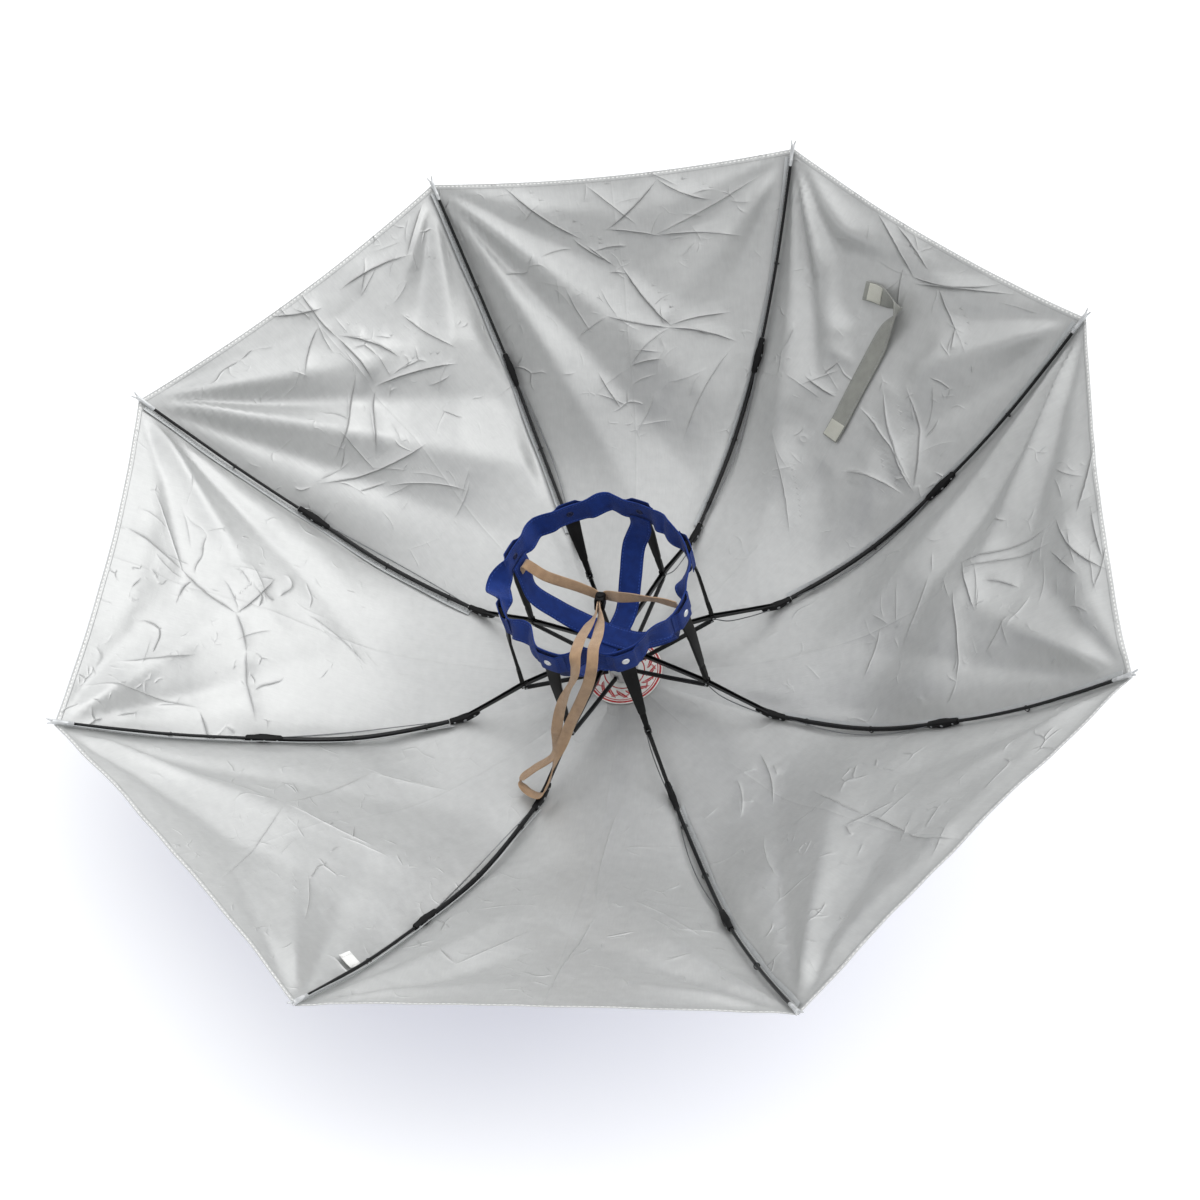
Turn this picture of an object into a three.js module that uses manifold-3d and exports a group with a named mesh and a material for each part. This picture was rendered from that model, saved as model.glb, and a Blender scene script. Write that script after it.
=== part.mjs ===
// An umbrella hat of 95 cm span, open, lying on its outer side with the hollow upward.
// Units are millimetres. The hat is modelled in its own frame, worn the usual way up: the rim
// tips lie near z = 0, the crown is at the top, and rib 1 points along +X.
// Nested groups at the end turn it over and lean it as it rests on the floor, which is z = 0.

import * as THREE from 'three';
import { mergeVertices } from 'three/addons/utils/BufferGeometryUtils.js';
import Module from 'manifold-3d';

const wasm = await Module();
wasm.setup();

// Driving dimensions
const ribCount = 8;
const ribPitch = 360 / ribCount;
const clothWall = 1.0;
const gap = 0.3;
const seamInset = 0.18;
const edgeSag = 9;
const panelSag = 6;
const ribDepth = 5;
const ribDepthAtTip = 3.0;
const innerTurn = 1.5;

const innerJoint = { r: 158.6, z: 223.6 };
const outerJoint = { r: 333, z: 137.8 };
const tee = { r: 96.3, z: 203.9 };

const bandRadius = 86;
const bandMiddle = 94;
const bandHeight = 25;
const bandWall = 1.5;
const snapRadius = 4.5;

const strapWidth = 10;
const strapWall = 1.2;
const crownStrapWidth = 22;
const crownHeight = 181;

const hubRadius = 14;
const stemRadius = 8;
const runnerRadius = 20;
const discRadius = 37;
const domeRadius = 22;

const leanAngle = 13.4;
const leanToward = 247.5;
const heading = 39.6;
const pressDepth = 0.6;
const settleDepth = 2.4;

// Inner face of the cloth along a rib, from the crown to the tip
const clothProfile = [
  { r: 6, z: 242 },
  { r: 50, z: 241 },
  { r: 90, z: 238 },
  { r: 158.6, z: 228 },
  { r: 255.6, z: 197 },
  { r: 335.4, z: 141.5 },
  { r: 409.5, z: 75.5 },
  { r: 475, z: 0 },
];

// How each rib differs from an even one: turns about the hat's axis and bends at its joints, in degrees
const ribs = [
  { jointTurn: 1.1, jointBend: 0.2, tipTurn: -0.3, tipBend: -0.7 },
  { jointTurn: 1.6, jointBend: -1.0, tipTurn: 0.1, tipBend: 0.1 },
  { jointTurn: 0.4, jointBend: 0.1, tipTurn: -1.3, tipBend: 0.8 },
  { jointTurn: 1.4, jointBend: -1.9, tipTurn: -0.5, tipBend: 3.5 },
  { jointTurn: 1.0, jointBend: 0.0, tipTurn: -1.2, tipBend: 2.4 },
  { jointTurn: 1.0, jointBend: 0.2, tipTurn: -0.8, tipBend: -2.3 },
  { jointTurn: 1.7, jointBend: 2.1, tipTurn: -0.6, tipBend: -4.6 },
  { jointTurn: 0.8, jointBend: 0.8, tipTurn: -0.6, tipBend: 0.1 },
];

// The slack of the head band between two posts: how far it bows out, sinks and tips over
const bandBays = [
  { out: 0, down: -5, tip: 12 },
  { out: -6, down: -7, tip: 19 },
  { out: -6, down: -7, tip: 38 },
  { out: -1, down: -8, tip: 0 },
  { out: -3, down: -6, tip: -8 },
  { out: -4, down: -9, tip: -30 },
  { out: 5, down: 5, tip: 60 },
  { out: 4, down: 2, tip: 20 },
];

const radians = THREE.MathUtils.degToRad;
const smooth = THREE.MathUtils.smoothstep;
const lerp = THREE.MathUtils.lerp;

// Materials
function material(color, roughness, metalness = 0) {
  return new THREE.MeshStandardMaterial({ color, roughness, metalness, side: THREE.DoubleSide });
}

const looks = {
  cloth: () => material(0xc3c6c8, 0.55, 0.25),
  steel: () => material(0x17181a, 0.35, 0.7),
  plastic: () => material(0x121315, 0.5),
  band: () => material(0x1f46ab, 0.8),
  webbing: () => material(0xb48d62, 0.85),
  disc: () => material(0xeceae6, 0.6),
  hub: () => material(0xb9bcbd, 0.4),
  tie: () => material(0x8f9294, 0.75),
  label: () => material(0xf2f2f0, 0.8),
};

// Solids
// A loft joins rings of equal length. Point i of a ring faces point n - 1 - i, which closes its ends.
function loft(rings, closed = false) {
  const n = rings[0].length;
  const positions = rings.flat().flatMap((p) => [p.x, p.y, p.z]);
  const index = [];
  const spans = closed ? rings.length : rings.length - 1;
  for (let s = 0; s < spans; s += 1) {
    const a = s * n;
    const b = ((s + 1) % rings.length) * n;
    for (let i = 0; i < n; i += 1) {
      const j = (i + 1) % n;
      index.push(a + i, a + j, b + j, a + i, b + j, b + i);
    }
  }
  if (!closed) {
    const last = (rings.length - 1) * n;
    for (let i = 0; i < n / 2 - 1; i += 1) {
      const k = n - 1 - i;
      index.push(k, k - 1, i + 1, k, i + 1, i);
      index.push(last + i, last + i + 1, last + k - 1, last + i, last + k - 1, last + k);
    }
  }
  const geometry = new THREE.BufferGeometry();
  geometry.setAttribute('position', new THREE.Float32BufferAttribute(positions, 3));
  geometry.setIndex(index);
  return outward(geometry);
}

function signedVolume(geometry) {
  const p = geometry.getAttribute('position');
  const at = (i) => new THREE.Vector3().fromBufferAttribute(p, geometry.index.getX(i));
  let sum = 0;
  for (let i = 0; i < geometry.index.count; i += 3) {
    sum += at(i).dot(at(i + 1).cross(at(i + 2)));
  }
  return sum / 6;
}

function outward(geometry) {
  if (signedVolume(geometry) < 0) {
    const index = Array.from(geometry.index.array);
    for (let i = 0; i < index.length; i += 3) {
      [index[i + 1], index[i + 2]] = [index[i + 2], index[i + 1]];
    }
    geometry.setIndex(index);
  }
  geometry.computeVertexNormals();
  return geometry;
}

function toManifold(geometry) {
  const plain = geometry.clone();
  plain.deleteAttribute('normal');
  plain.deleteAttribute('uv');
  const merged = mergeVertices(plain, 1e-4);
  return new wasm.Manifold(new wasm.Mesh({
    numProp: 3,
    vertProperties: new Float32Array(merged.attributes.position.array),
    triVerts: new Uint32Array(merged.index.array),
  }));
}

function fromManifold(solid) {
  const mesh = solid.getMesh();
  const geometry = new THREE.BufferGeometry();
  geometry.setAttribute('position', new THREE.Float32BufferAttribute(mesh.vertProperties, 3));
  geometry.setIndex(Array.from(mesh.triVerts));
  geometry.computeVertexNormals();
  return geometry;
}

function join(geometries) {
  return fromManifold(geometries.map(toManifold).reduce((a, b) => a.add(b)));
}

function cut(geometry, tool) {
  return fromManifold(toManifold(geometry).subtract(toManifold(tool)));
}

// The floor, as a plane in the hat's own frame
const down = new THREE.Vector3(
  Math.sin(radians(leanAngle)) * Math.cos(radians(leanToward)),
  Math.sin(radians(leanAngle)) * Math.sin(radians(leanToward)),
  Math.cos(radians(leanAngle)),
);

// Ribs
const profileCurve = new THREE.CatmullRomCurve3(
  clothProfile.map(({ r, z }) => new THREE.Vector3(r, 0, z)),
  false,
  'centripetal',
);
const profilePoints = profileCurve.getSpacedPoints(400);

function clothAt(r) {
  const i = Math.max(1, profilePoints.findIndex((p) => p.x >= r - 1e-6));
  const a = profilePoints[i - 1];
  const b = profilePoints[i];
  const z = lerp(a.z, b.z, (r - a.x) / (b.x - a.x));
  const slope = Math.atan2(b.z - a.z, b.x - a.x);
  return { z, normal: { r: -Math.sin(slope), z: Math.cos(slope) } };
}

function ribLine(r) {
  const { z, normal } = clothAt(r);
  const depth = lerp(ribDepth, ribDepthAtTip, smooth(r, 420, 468));
  return { r: r - normal.r * depth, z: z - normal.z * depth };
}

function bend(point, pivot, angle) {
  const c = Math.cos(radians(angle));
  const s = Math.sin(radians(angle));
  const r = point.r - pivot.r;
  const z = point.z - pivot.z;
  return { r: pivot.r + r * c - z * s, z: pivot.z + r * s + z * c };
}

// Where a point of the even rib lies on rib number k: side is the distance to its left
function onRib(k, r, z, side = 0) {
  const rib = ribs[(k - 1) % ribCount];
  const firstBend = rib.jointBend * smooth(r, innerJoint.r - 10, innerJoint.r + 30);
  const secondBend = rib.tipBend * smooth(r, outerJoint.r - 15, outerJoint.r + 25);
  const knee = bend(outerJoint, innerJoint, firstBend);
  const p = bend(bend({ r, z }, innerJoint, firstBend), knee, secondBend);
  const turn = r < outerJoint.r
    ? lerp(innerTurn, rib.jointTurn, THREE.MathUtils.clamp((r - innerJoint.r) / (outerJoint.r - innerJoint.r), 0, 1))
    : lerp(rib.jointTurn, rib.tipTurn, (r - outerJoint.r) / (475 - outerJoint.r));
  const a = radians(ribPitch * (k - 1) + turn);
  return new THREE.Vector3(
    p.r * Math.cos(a) - side * Math.sin(a),
    p.r * Math.sin(a) + side * Math.cos(a),
    p.z,
  );
}

// A bar in the plane of rib k through stations { r, z, high, wide, side }
function ribBar(k, stations) {
  const rings = stations.map((s, i) => {
    const before = stations[Math.max(0, i - 1)];
    const after = stations[Math.min(stations.length - 1, i + 1)];
    const angle = Math.atan2(after.z - before.z, after.r - before.r);
    const up = { r: -Math.sin(angle) * s.high / 2, z: Math.cos(angle) * s.high / 2 };
    const side = s.side ?? 0;
    const half = s.wide / 2;
    return [
      onRib(k, s.r + up.r, s.z + up.z, side + half),
      onRib(k, s.r + up.r, s.z + up.z, side - half),
      onRib(k, s.r - up.r, s.z - up.z, side - half),
      onRib(k, s.r - up.r, s.z - up.z, side + half),
    ];
  });
  return loft(rings);
}

const along = (from, to, count) => Array.from({ length: count }, (_, i) => lerp(from, to, i / (count - 1)));

// The bar from the runner past the post's foot to the inner joint
function stretcher(k) {
  const bar = ribBar(k, [
    { r: runnerRadius + gap, z: 194.5, high: 4, wide: 3.6 },
    { r: tee.r, z: tee.z, high: 4.4, wide: 4 },
    { r: 128, z: 213.6, high: 3.6, wide: 3.6 },
    { r: innerJoint.r, z: innerJoint.z - 1.2, high: 3.6, wide: 3.6 },
  ]);
  const wire = ribBar(k, [
    { r: 90, z: 202.8, high: 1.4, wide: 1.4, side: 1.2 },
    { r: 108, z: 214.5, high: 1.4, wide: 1.4, side: 3.4 },
    { r: 150, z: 222.8, high: 1.4, wide: 1.4, side: 2.2 },
  ]);
  const joint = ribBar(k, [
    { r: 144, z: 220.6, high: 5, wide: 5.4 },
    { r: innerJoint.r, z: innerJoint.z - 0.8, high: 6.2, wide: 6.4 },
    { r: 172, z: 220.7, high: 5, wide: 5.4 },
  ]);
  return join([bar, wire, joint]);
}

// The short link from the hub's notch to the post's foot
function hubLink(k) {
  return ribBar(k, [
    { r: hubRadius + 2 * gap + 0.3, z: 231, high: 3.6, wide: 3.4 },
    { r: 55, z: 220.5, high: 3.4, wide: 3.4 },
    { r: tee.r - 1.5, z: tee.z + 4.9, high: 3.4, wide: 3.4 },
  ]);
}

// The channel between the two joints, with the pull wire beside it and the outer joint's block
function middleRib(k) {
  const start = 174.2;
  const end = outerJoint.r + 14;
  const channel = ribBar(k, along(start, end, 7).map((r) => ({ ...ribLine(r), high: 3.2, wide: 3.4 })));
  const wireSpan = along(start + 3, outerJoint.r - 8, 6);
  const wire = ribBar(k, wireSpan.map((r, i) => {
    const bow = Math.sin((Math.PI * i) / (wireSpan.length - 1));
    return { ...ribLine(r), high: 1.3, wide: 1.3, side: 1 + 6 * bow };
  }));
  const block = ribBar(k, along(outerJoint.r - 14, outerJoint.r + 14, 3).map((r, i) => (
    { ...ribLine(r), high: i === 1 ? 6 : 5, wide: i === 1 ? 6.6 : 5.2 }
  )));
  return join([channel, wire, block]);
}

// The thin rod to the rim with the cap that holds the cloth's corner
function tipRod(k) {
  const stations = along(outerJoint.r + 14 + gap, 470, 6);
  const rod = ribBar(k, stations.map((r) => ({ ...ribLine(r), high: 2.4, wide: 2.4 })));
  const base = ribLine(460);
  const top = ribLine(474);
  const reach = 10;
  const length = Math.hypot(top.r - base.r, top.z - base.z);
  const out = { r: top.r + reach * (top.r - base.r) / length, z: top.z + reach * (top.z - base.z) / length };
  const cap = ribBar(k, [
    { r: base.r, z: base.z, high: 3.6, wide: 3.6 },
    { r: top.r, z: top.z, high: 4.2, wide: 4.2 },
    { r: out.r, z: out.z, high: 3.2, wide: 5 },
  ]);
  return join([rod, cap]);
}

// The flat arm that carries the head band: narrow at its foot, wide at the band
function post(k) {
  const faceRadius = bandRadius + bandWall / 2 + gap;
  return ribBar(k, [
    { r: tee.r - 1.4, z: tee.z - 3.2, high: 4.2, wide: 5 },
    { r: tee.r - 3, z: 172, high: 3.2, wide: 7.5 },
    { r: tee.r - 5, z: 130, high: 2.6, wide: 12 },
    { r: faceRadius + 1.4, z: 110, high: 2.4, wide: 14 },
    { r: faceRadius + 1.2, z: 86, high: 2.4, wide: 14 },
  ]);
}

// Cloth
const alongCloth = [0, 0.1, 0.19, 0.26, 0.32, 0.38, 0.44, 0.51, 0.58, 0.66, 0.75, 0.84, 0.91, 0.96, 1];
const acrossCloth = [0, 0.08, 0.2, 0.35, 0.5, 0.65, 0.8, 0.92, 1];

function clothCorner(k, s, lift) {
  const p = profileCurve.getPointAt(s);
  const t = profileCurve.getTangentAt(s);
  return onRib(k, p.x - t.z * lift, p.z + t.x * lift);
}

function clothPoint(k, s, u, lift) {
  const bow = 4 * u * (1 - u);
  const back = (edgeSag * bow * s ** 3) / profileCurve.getLength();
  const at = s - back;
  const left = clothCorner(k, at, 0);
  const right = clothCorner(k + 1, at, 0);
  const width = left.distanceTo(right);
  const inset = seamInset / width;
  const v = lerp(inset, 1 - inset, u);
  const leftUp = clothCorner(k, at, 1).sub(left);
  const rightUp = clothCorner(k + 1, at, 1).sub(right);
  const up = leftUp.lerp(rightUp, v).normalize();
  const sag = panelSag * bow * Math.sin(Math.PI * Math.min(1, s * 1.15)) * s;
  const pull = 3 * s ** 6 * Math.cos(2 * Math.PI * 3 * u) * bow;
  return left.lerp(right, v).addScaledVector(up, lift - sag + pull);
}

const floorDistance = Math.max(...along(0.25, 0.55, 40).flatMap((s) => (
  [6, 7].map((k) => clothCorner(k, s, clothWall).dot(down))
))) - pressDepth;

// Cloth below the floor is pressed up to it, and cloth just above it lies down on it
function pressToFloor(point, keepAbove) {
  const over = point.dot(down) - (floorDistance - keepAbove);
  return over > -settleDepth ? point.addScaledVector(down, -over) : point;
}

function clothPanel(k) {
  const rings = alongCloth.map((s) => {
    const outer = acrossCloth.map((u) => pressToFloor(clothPoint(k, s, u, clothWall), 0));
    const inner = acrossCloth.map((u) => pressToFloor(clothPoint(k, s, u, 0), clothWall));
    return [...outer, ...inner.reverse()];
  });
  return loft(rings);
}

// Crown
function lathe(profile, segments = 24) {
  const geometry = new THREE.LatheGeometry(profile.map(([r, z]) => new THREE.Vector2(r, z)), segments);
  geometry.rotateX(Math.PI / 2);
  geometry.deleteAttribute('uv');
  geometry.deleteAttribute('normal');
  return outward(mergeVertices(geometry, 1e-4));
}

function crownCap() {
  const seat = clothAt(20).z + clothWall + gap + 0.25;
  const centre = (floorDistance - domeRadius) / Math.cos(radians(leanAngle));
  const startAngle = Math.max(0, Math.asin((seat - centre) / domeRadius));
  const dome = along(startAngle, Math.PI / 2, 8).map((a) => (
    [domeRadius * Math.cos(a), centre + domeRadius * Math.sin(a)]
  ));
  dome[dome.length - 1][0] = 0;
  return lathe([[0, seat], [domeRadius * Math.cos(startAngle), seat], ...dome], 32);
}

function crownDisc() {
  const top = clothAt(8).z - 2 * gap;
  const edge = clothAt(discRadius + 3).z - 2 * gap;
  return lathe([[0, top], [8, top], [discRadius, edge], [discRadius, edge - 0.8], [8, top - 0.8], [0, top - 0.8]]);
}

function hub() {
  const top = clothAt(8).z - 3 * gap - 0.8;
  return lathe([[0, 184], [stemRadius, 184], [stemRadius, 222], [hubRadius, 224], [hubRadius, top - 0.2], [0, top]]);
}

function runner() {
  const inside = stemRadius + gap;
  return lathe([[inside, 187], [runnerRadius - 2, 187], [runnerRadius, 190], [runnerRadius, 200],
    [runnerRadius - 3, 203], [inside, 203], [inside, 187]]);
}

// Ribbons: stations { at, across } in space, smoothed, with a flat section
function ribbon(stations, width, wall, steps) {
  const path = new THREE.CatmullRomCurve3(stations.map((s) => s.at), false, 'centripetal');
  const sides = new THREE.CatmullRomCurve3(stations.map((s) => s.across.clone().normalize()), false, 'catmullrom');
  const count = (stations.length - 1) * steps;
  const rings = [];
  for (let i = 0; i <= count; i += 1) {
    const t = i / count;
    const centre = path.getPoint(t);
    const tangent = path.getTangent(t);
    const across = sides.getPoint(t);
    across.addScaledVector(tangent, -across.dot(tangent)).normalize().multiplyScalar(width / 2);
    const up = across.clone().cross(tangent).normalize().multiplyScalar(wall / 2);
    rings.push([
      centre.clone().add(across).add(up),
      centre.clone().sub(across).add(up),
      centre.clone().sub(across).sub(up),
      centre.clone().add(across).sub(up),
    ]);
  }
  return loft(rings);
}

function polar(r, azimuth, z) {
  const a = radians(azimuth);
  return new THREE.Vector3(r * Math.cos(a), r * Math.sin(a), z);
}

// Head band
function bandCentre(azimuth) {
  const turned = (azimuth - innerTurn + 720) % 360;
  const bay = bandBays[Math.floor(turned / ribPitch) % ribCount];
  const part = (turned % ribPitch) / ribPitch;
  const slack = Math.sin(Math.PI * THREE.MathUtils.clamp((part - 0.16) / 0.68, 0, 1)) ** 1.5;
  return {
    r: bandRadius + bay.out * slack,
    z: bandMiddle + bay.down * slack,
    tip: radians(bay.tip * slack),
  };
}

function headBand() {
  const steps = 72;
  const rings = [];
  for (let i = 0; i < steps; i += 1) {
    const azimuth = innerTurn + (360 * i) / steps;
    const { r, z, tip } = bandCentre(azimuth);
    const corner = (x, y) => polar(
      r + x * Math.cos(tip) - y * Math.sin(tip), azimuth, z + x * Math.sin(tip) + y * Math.cos(tip));
    const w = bandWall / 2;
    const h = bandHeight / 2;
    rings.push([corner(w, h), corner(w, -h), corner(-w, -h), corner(-w, h)]);
  }
  const band = loft(rings, true);
  const snaps = Array.from({ length: ribCount }, (_, i) => {
    const snap = new THREE.CylinderGeometry(snapRadius, snapRadius, 1.2, 10);
    snap.rotateZ(Math.PI / 2);
    snap.translate(bandRadius - bandWall / 2 - 0.4, 0, bandMiddle - 1);
    snap.rotateZ(radians(innerTurn + ribPitch * i));
    return snap;
  });
  return join([band, ...snaps]);
}

// A strap over the head from the band beside rib k to the one opposite
function crownStrap(k, height) {
  const a = innerTurn + ribPitch * (k - 1);
  const inside = bandRadius - bandWall - gap - 1.5;
  const half = [
    { r: inside, z: bandMiddle + 5.5, turn: 0 },
    { r: inside - 1.5, z: bandMiddle + 18, turn: 0 },
    { r: 74, z: 135, turn: -6 },
    { r: 52, z: 157, turn: -5 },
    { r: 26, z: height - 4, turn: 0 },
  ];
  const across = (azimuth) => polar(1, azimuth + 90, 0);
  const near = half.map((s) => ({ at: polar(s.r, a + s.turn, s.z), across: across(a + 3 * s.turn) }));
  const far = half.map((s) => ({ at: polar(s.r, a + 180 + s.turn, s.z), across: across(a + 180 + 3 * s.turn).negate() }));
  const middle = [{ at: new THREE.Vector3(0, 0, height), across: across(a) }];
  return ribbon([...near, ...middle, ...far.reverse()], crownStrapWidth, bandWall, 3);
}

// Chin strap: one loop of webbing from band to band through the cord lock
const strapAngle = 3 * ribPitch + innerTurn;
const strapEnd = bandRadius - bandWall / 2 - 1 - 2 * gap;
const lockCentre = new THREE.Vector3(-4, -2, 116);
const lockAxis = new THREE.Vector3(-0.87, -0.39, -0.3).normalize();
const armLine = polar(1, strapAngle + 180, 0);
const lockUp = armLine.clone().addScaledVector(lockAxis, -armLine.dot(lockAxis)).normalize();
const lockSide = lockAxis.clone().cross(lockUp).normalize();

function inLock(forward, up) {
  return lockCentre.clone().addScaledVector(lockAxis, forward).addScaledVector(lockUp, up);
}

function chinStrap() {
  const flat = (x, y, z) => new THREE.Vector3(x, y, z);
  const arm = polar(1, strapAngle + 90, 0);
  const layer = 0.85;
  const stations = [
    { at: polar(79.4, strapAngle + 180, 112), across: arm },
    { at: polar(79.6, strapAngle + 180, 105), across: arm },
    { at: polar(77, strapAngle + 180, 100.5), across: arm },
    { at: polar(70, strapAngle + 180, 103.5), across: flat(-0.75, -0.75, 0.35) },
    { at: polar(58, strapAngle + 180, 110), across: flat(-0.7, -0.7, 0.6) },
    { at: polar(22, strapAngle + 182, 112), across: flat(-0.4, -0.4, 0.8) },
    { at: inLock(-8.5, 3.2), across: lockSide },
    { at: inLock(-3, layer), across: lockSide },
    { at: inLock(10, layer), across: lockSide },
    { at: flat(-41, -21, 93), across: flat(0.3, -0.9, 0.2) },
    { at: flat(-67, -34, 74), across: flat(0.4, -0.9, 0) },
    { at: flat(-82, -42, 70.5), across: flat(0.4, -0.9, 0) },
    { at: flat(-89, -46, 80), across: flat(0.7, -0.6, 0.3) },
    { at: flat(-88, -54, 100), across: flat(0.9, -0.1, 0.6) },
    { at: flat(-86, -68, 128), across: flat(0.7, -0.7, 0.3) },
    { at: flat(-88.5, -79, 155), across: flat(0.4, -0.9, 0) },
    { at: flat(-90, -85, 178), across: flat(0.7, -0.6, 0.4) },
    { at: flat(-91, -93, 193), across: flat(1, -0.1, 0.5) },
    { at: flat(-88, -113, 206), across: flat(1, 0.1, 0.3) },
    { at: flat(-90, -127, 213), across: flat(1, 0.2, 0.3) },
    { at: flat(-101, -125, 215), across: flat(0.8, 0.5, 0.5) },
    { at: flat(-112, -115, 214), across: flat(0.8, 0.6, 0.5) },
    { at: flat(-107, -105, 209), across: flat(0.8, 0.5, 0.6) },
    { at: flat(-100, -96, 199), across: flat(0.9, 0.2, 0.6) },
    { at: flat(-97, -89.5, 187), across: flat(0.8, -0.4, 0.5) },
    { at: flat(-96, -78, 168), across: flat(0.5, -0.8, 0.2) },
    { at: flat(-95, -66, 146), across: flat(0.4, -0.9, 0) },
    { at: flat(-96, -51, 118), across: flat(0.6, -0.8, 0.2) },
    { at: flat(-98, -39, 92), across: flat(0.5, -0.9, 0) },
    { at: flat(-94, -31, 75), across: flat(0.4, -0.9, 0) },
    { at: flat(-82, -25, 70.5), across: flat(0.4, -0.9, 0) },
    { at: flat(-68, -18, 76), across: flat(0.3, -0.9, 0) },
    { at: flat(-46, -12, 92), across: flat(0.2, -0.9, 0.3) },
    { at: inLock(10, -layer), across: lockSide },
    { at: inLock(-3, -layer), across: lockSide },
    { at: inLock(-8.5, -3.2), across: lockSide },
    { at: polar(22, strapAngle - 2, 105), across: flat(-0.3, -0.3, 0.9) },
    { at: polar(55, strapAngle, 89), across: flat(0.15, 0.15, 1) },
    { at: polar(strapEnd - 11, strapAngle, 84.8), across: flat(0, 0, 1) },
    { at: polar(strapEnd, strapAngle, 84), across: flat(0, 0, 1) },
  ];
  return ribbon(stations, strapWidth, strapWall, 3);
}

function cordLock() {
  const box = new THREE.BoxGeometry(12, 15, 9.6);
  const slot = new THREE.BoxGeometry(20, strapWidth + 1.4, 2 * strapWall + 2.8);
  const placed = new THREE.Matrix4().makeBasis(lockAxis, lockSide.clone().negate(), lockUp).setPosition(lockCentre);
  return cut(box, slot).applyMatrix4(placed);
}

// Tie strap on the panel between ribs 2 and 3, sewn on at its upper end
function tieStrap() {
  const path = [
    { s: 0.8555, u: 0.362, lift: 2.9, twist: 0 },
    { s: 0.862, u: 0.4, lift: 3.2, twist: 0 },
    { s: 0.8655, u: 0.445, lift: 5.7, twist: 25 },
    { s: 0.868, u: 0.505, lift: 10.2, twist: 80 },
    { s: 0.847, u: 0.509, lift: 8.6, twist: 60 },
    { s: 0.815, u: 0.493, lift: 5.2, twist: 20 },
    { s: 0.775, u: 0.489, lift: 3.4, twist: 0 },
    { s: 0.6793, u: 0.483, lift: 2.7, twist: 0 },
    { s: 0.6211, u: 0.4857, lift: 2.5, twist: 0 },
    { s: 0.59, u: 0.484, lift: 2.3, twist: 0 },
  ];
  const points = path.map(({ s, u, lift }) => clothPoint(2, s, u, -lift));
  const stations = path.map(({ s, u, lift, twist }, i) => {
    const before = points[Math.max(i - 1, 0)];
    const after = points[Math.min(i + 1, points.length - 1)];
    const along = after.clone().sub(before).normalize();
    const up = clothPoint(2, s, u, -lift - 1).sub(points[i]).normalize();
    return { at: points[i], across: up.clone().cross(along).applyAxisAngle(along, radians(twist)) };
  });
  return ribbon(stations, 18, 1.2, 3);
}

// Small bare label beside the seam of rib 6
function careLabel() {
  const lay = (s, u, lift) => clothPoint(6, s, u, -lift);
  const stations = [0.818, 0.833, 0.848].map((s, i) => {
    const at = lay(s, 0.034, 2.9 + i * 0.8);
    const across = lay(s, 0.054, 3.9 + i * 0.8).sub(at);
    return { at, across };
  });
  return ribbon(stations, 14, 0.6, 2);
}

// Assembly
const hat = new THREE.Group();

function add(name, geometry, look) {
  const mesh = new THREE.Mesh(geometry, look());
  mesh.name = name;
  hat.add(mesh);
}

for (let k = 1; k <= ribCount; k += 1) {
  add(`canopy_panel_${k}`, clothPanel(k), looks.cloth);
  add(`hub_link_${k}`, hubLink(k), looks.steel);
  add(`stretcher_${k}`, stretcher(k), looks.steel);
  add(`middle_rib_${k}`, middleRib(k), looks.steel);
  add(`tip_rod_${k}`, tipRod(k), looks.steel);
  add(`band_post_${k}`, post(k), looks.plastic);
}
add('crown_cap', crownCap(), looks.plastic);
add('crown_disc', crownDisc(), looks.disc);
add('hub', hub(), looks.hub);
add('runner', runner(), looks.plastic);
add('head_band', headBand(), looks.band);
add('crown_strap_1', crownStrap(2, crownHeight), looks.band);
add('crown_strap_2', crownStrap(4, crownHeight - bandWall - 1), looks.band);
add('chin_strap', chinStrap(), looks.webbing);
add('cord_lock', cordLock(), looks.plastic);
add('tie_strap', tieStrap(), looks.tie);
add('care_label', careLabel(), looks.label);

hat.rotation.z = radians(360 - leanToward);
const leaned = new THREE.Group();
leaned.rotation.y = radians(180 - leanAngle);
leaned.add(hat);
const part = new THREE.Group();
part.rotation.z = radians(heading);
part.position.z = floorDistance;
part.add(leaned);

// The origin is the middle of the part's box, on the floor
part.updateMatrixWorld(true);
const middle = new THREE.Box3().setFromObject(part, true).getCenter(new THREE.Vector3());
part.position.x -= middle.x;
part.position.y -= middle.y;

export default part;
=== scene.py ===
"""An umbrella hat of 95 cm span, open, lying on its outer side with the hollow upward.

The shapes are worked out in the hat's own frame, in millimetres: worn the usual way up, the rim near z = 0,
the crown at the top, rib 1 along +X. HAT_TO_FLOOR turns them over and leans them as the hat lies on the
floor.
"""

import math
import random

import bpy
import numpy as np
from mathutils import Matrix, Vector, noise


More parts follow.
